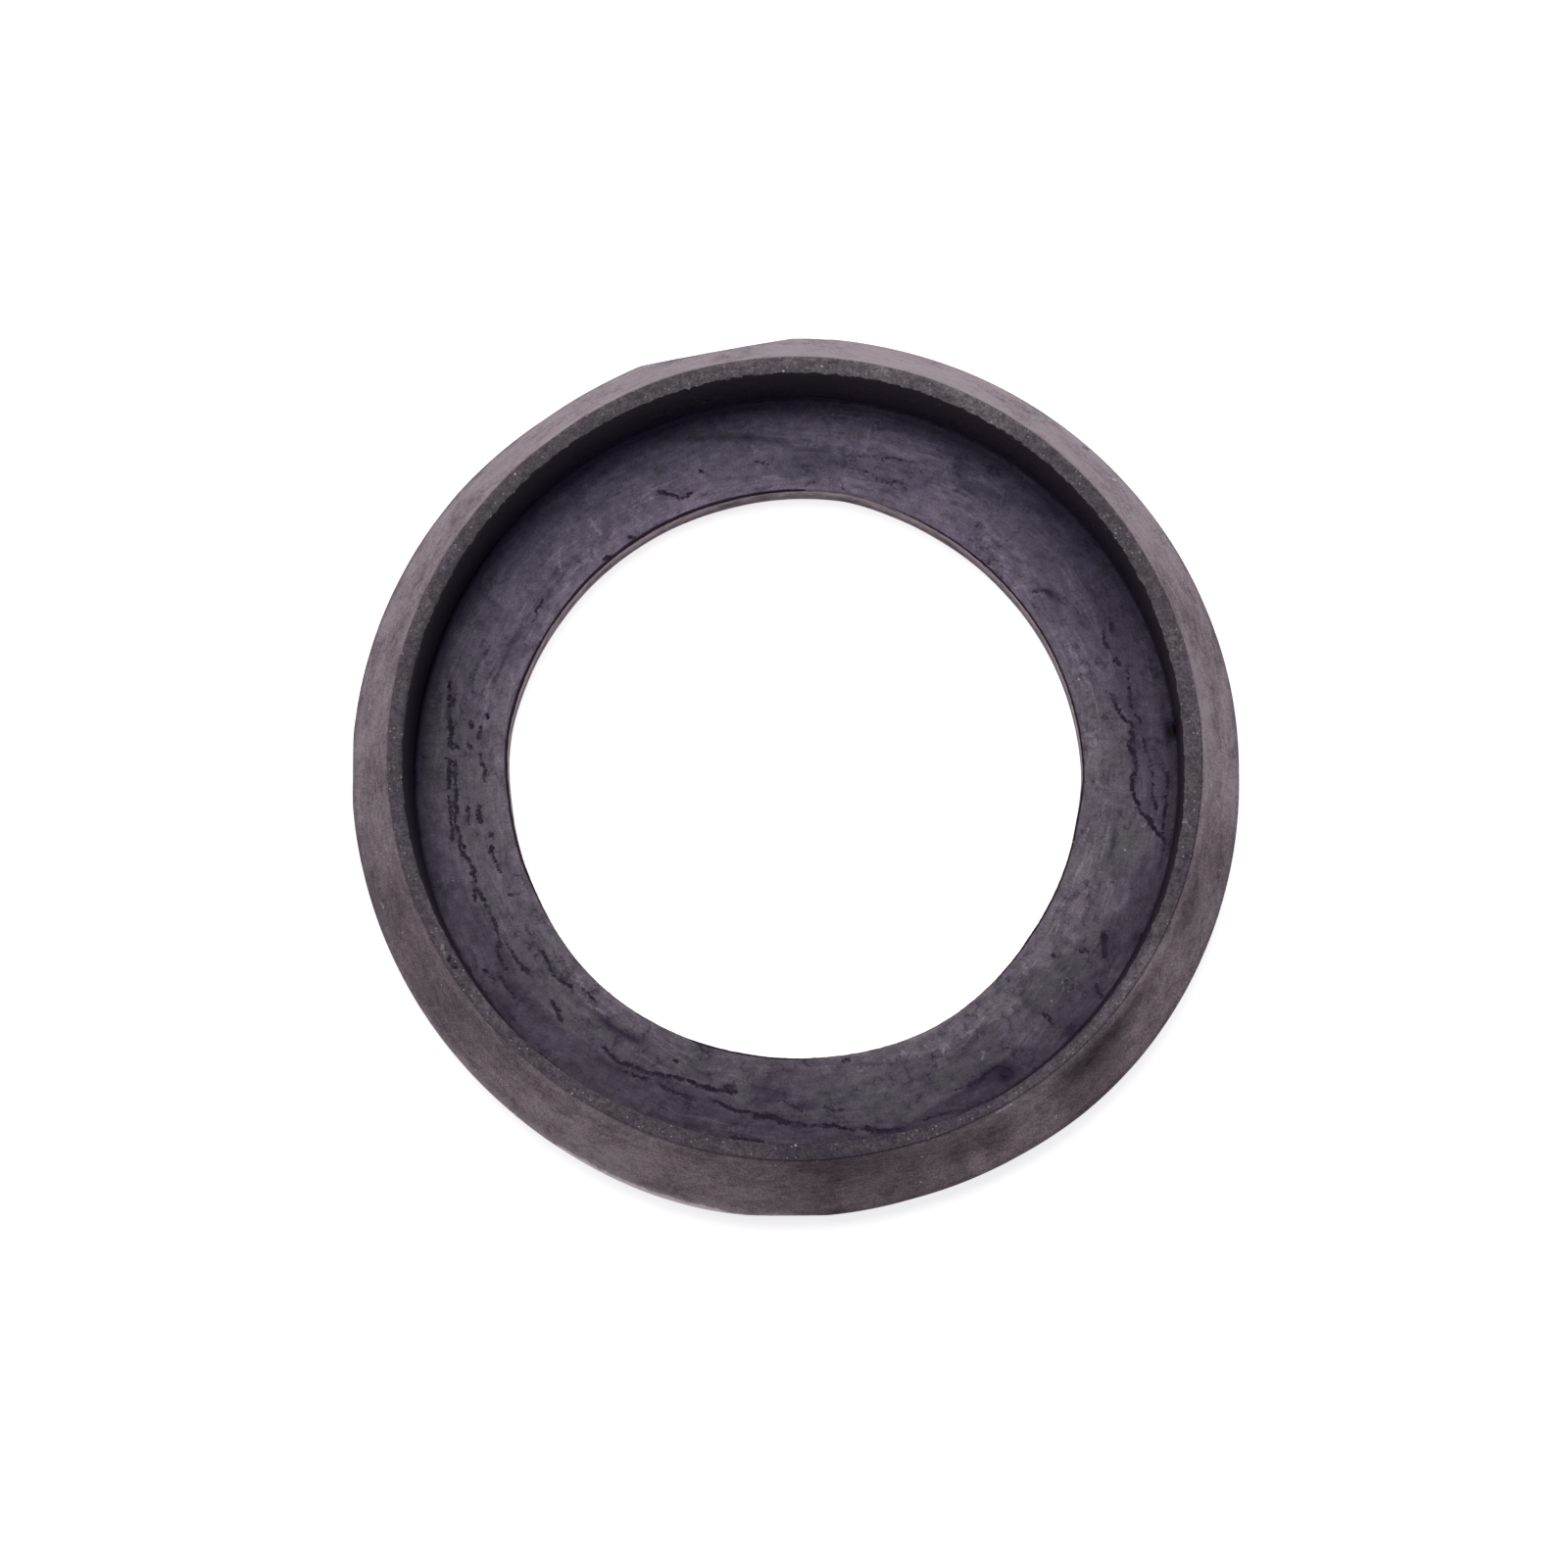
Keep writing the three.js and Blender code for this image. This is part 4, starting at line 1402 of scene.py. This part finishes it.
FINISHES = {
    Zone.BEVEL: RubberFinish(
        "bevel rubber", (0.037, 0.027, 0.034), film=0.84, film_index=1.62, film_roughness=0.40, specular=0.0,
        roughness=0.5, cloud=0.26, streak=0.08, mottle=0.18, vein=0.12, stretch=4.0, grain_colour=0.31,
        specks=(Specks(1.1, 0.12, 0.08),), grey_tint=(0.80, 1.085, 0.87), violet_tint=(1.26, 0.87, 1.14),
        # The near-white scratch colour also paints the highlight along the widest edge
        scratch_and_glint_colour=(0.80, 0.76, 0.78), scratch_and_glint_raggedness=0.3, edge_strength=0.55,
        dark_tint=(1.03, 0.73, 1.15),
    ),
    Zone.LAND: RubberFinish(
        "trimmed land rubber", (0.079, 0.067, 0.080), specular=0.16, roughness=0.7, grain_size=0.24,
        grain_depth=0.08, cloud=0.20, mottle=0.40, vein=0.36, grain_colour=0.38, edge_strength=0.7,
        specks=(Specks(0.42, 0.10, 0.20, (0.24, 0.23, 0.24)), Specks(1.3, 0.15, 0.22)),
    ),
    # The wall's colour, far darker than the seat's, is partly the rubber's own and partly painted shade of
    # the recess.
    Zone.WALL: RubberFinish(
        "recess wall rubber", (0.0152, 0.0098, 0.0172), specular=0.08, roughness=0.6, mottle=0.3,
    ),
    Zone.SEAT: RubberFinish(
        "seat rubber", (0.110, 0.095, 0.117), specular=0.08, roughness=0.55, cloud=0.18, streak=0.22,
        mottle=0.26, flaking=0.34, vein=0.50, stretch=7.0, grain_colour=0.20, far_light_tint=(0.97, 0.93, 1.08),
        specks=(Specks(1.6, 0.14, 0.05),),
    ),
    Zone.BORE: RubberFinish(
        "bore rubber", (0.085, 0.068, 0.077), film=0.8, film_index=1.5, specular=0.0, roughness=0.6,
        streak=0.3, mottle=0.3, stretch=12.0, crease_and_shade_colour=(0.020, 0.009, 0.013),
    ),
    Zone.UNDERSIDE: RubberFinish("underside rubber", (0.050, 0.042, 0.050), specular=0.3, roughness=0.55),
}


@dataclass
class Studio:
    """A white table under one large soft light, with a weak fill from all round."""

    table_side_m: float = 6.0
    table_drop: float = 0.02
    table_colour: Colour = (0.80, 0.78, 0.80)
    mirrored_table_colour: Colour = (1.10, 0.84, 0.99)
    table_glow: float = 0.62
    table_glow_in_view: float = 0.72
    mirrored_world_colour: Colour = (0.96, 0.82, 1.0)
    fill_colour: Colour = (0.96, 0.95, 1.0)
    fill_strength: float = 0.26
    light_colour: Colour = (1.0, 0.96, 0.98)
    light_watts: float = 16.0
    light_side_m: float = 1.1
    light_place_m: tuple[float, float, float] = (-0.15, 0.55, 1.25)

    def build(self) -> None:
        """Set up the table, the lights and the colour management."""
        self._table()
        self._softbox()
        self._world()
        bpy.context.scene.view_settings.view_transform = "Standard"

    def _table(self) -> None:
        """Lay the white table just under the ring."""
        bpy.ops.object.select_all(action="DESELECT")
        bpy.ops.mesh.primitive_plane_add(size=self.table_side_m, location=(0.0, 0.0, -self.table_drop * MM))
        table = bpy.context.active_object
        table.name = "table"
        material = bpy.data.materials.new("white table")
        material.use_nodes = True
        bench = Bench(material.node_tree)
        bench.tree.nodes.remove(bench.tree.nodes["Principled BSDF"])
        output = bench.tree.nodes["Material Output"]
        cloth = bench.place("ShaderNodeBsdfDiffuse", {"Color": (*self.table_colour, 1.0)})
        seen = self._seen(bench)
        in_view = bench.place("ShaderNodeLightPath").outputs["Is Camera Ray"]
        strength = bench.ease(in_view, 0.0, 1.0, self.table_glow, self.table_glow_in_view)
        strength = bench.reckon("MULTIPLY", seen, strength)
        tint = bench.blend(in_view, (*self.mirrored_table_colour, 1.0), (1.0, 1.0, 1.0, 1.0))
        glow = bench.place("ShaderNodeEmission", {"Color": tint, "Strength": strength})
        both = bench.place("ShaderNodeAddShader", {0: cloth.outputs[0], 1: glow.outputs[0]})
        bench.feed(output.inputs["Surface"], both.outputs[0])
        table.data.materials.append(material)

    def _softbox(self) -> None:
        """Hang the soft light above and a little behind the ring, facing it."""
        lamp = bpy.data.lights.new("softbox", "AREA")
        lamp.shape = "SQUARE"
        lamp.size = self.light_side_m
        lamp.energy = self.light_watts
        lamp.color = self.light_colour
        softbox = bpy.data.objects.new("softbox", lamp)
        softbox.location = self.light_place_m
        softbox.rotation_euler = Vector(self.light_place_m).to_track_quat("Z", "Y").to_euler()
        bpy.context.scene.collection.objects.link(softbox)

    def _world(self) -> None:
        """Fill the shadows from all round, and show white wherever the table ends."""
        world = bpy.data.worlds.new("studio")
        world.use_nodes = True
        bench = Bench(world.node_tree)
        background = bench.tree.nodes["Background"]
        seen = self._seen(bench)
        in_view = bench.place("ShaderNodeLightPath").outputs["Is Camera Ray"]
        shown = bench.blend(in_view, (*self.mirrored_world_colour, 1.0), (1.0, 1.0, 1.0, 1.0))
        fill = bench.blend(seen, (*self.fill_colour, 1.0), shown)
        bench.feed(background.inputs["Color"], fill)
        bench.feed(background.inputs["Strength"], bench.ease(seen, 0.0, 1.0, self.fill_strength, 1.0))
        bpy.context.scene.world = world

    @staticmethod
    def _seen(bench: Bench) -> bpy.types.NodeSocket:
        """Tell whether a ray comes from the camera, a mirror or glass."""
        camera, glossy, glass = [bench.place("ShaderNodeLightPath").outputs[name] for name in SEEN_RAYS]
        return bench.reckon("MAXIMUM", bench.reckon("MAXIMUM", camera, glossy), glass)


@dataclass
class PhotoCamera:
    """The photograph's camera: nearly straight above, a little towards the near side."""

    distance: float = 650.0
    tilt_degrees: float = 9.35
    turn_degrees: float = 3.6
    looks_at_height: float = 4.3
    photo_side_px: int = 1600
    pixels_per_mm: float = 9.5
    ring_right_px: float = 12.3
    ring_up_px: float = 11.6
    sensor_side: float = 36.0

    def build(self) -> None:
        """Place the camera so that the ring fills the frame as in the photograph."""
        tilt = radians(self.tilt_degrees)
        turn = radians(self.turn_degrees)
        outward = Vector((sin(tilt) * sin(turn), -sin(tilt) * cos(turn), cos(tilt)))
        right = (-outward).cross(Vector((0.0, 1.0, 0.0))).normalized()
        up = right.cross(-outward)
        aim = Vector((0.0, 0.0, self.looks_at_height))
        aim -= right * (self.ring_right_px / self.pixels_per_mm)
        aim -= up * (self.ring_up_px / self.pixels_per_mm)

        lens = bpy.data.cameras.new("photo_camera")
        lens.sensor_width = self.sensor_side
        lens.lens = self.sensor_side * self.pixels_per_mm * self.distance / self.photo_side_px
        camera = bpy.data.objects.new("photo_camera", lens)
        camera.location = (aim + outward * self.distance) * MM
        camera.rotation_euler = Matrix((right, up, outward)).transposed().to_euler()
        bpy.context.scene.collection.objects.link(camera)
        bpy.context.scene.camera = camera


def main() -> None:
    """Build the camera, the studio and the ring."""
    logging.basicConfig(level=logging.INFO, format="%(message)s")
    noise.seed_set(NOISE_SEED)
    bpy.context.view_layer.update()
    PhotoCamera().build()
    log.info("camera placed")
    Studio().build()
    log.info("studio lit")
    low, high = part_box("gasket_ring")
    section = RingSection(widest_radius=(high.x - low.x) / 2 / MM, rim_height=high.z / MM)
    ring = GasketRing(section).build()
    log.info("%s: %d vertices", ring.name, len(ring.data.vertices))


if __name__ == "__main__":
    main()
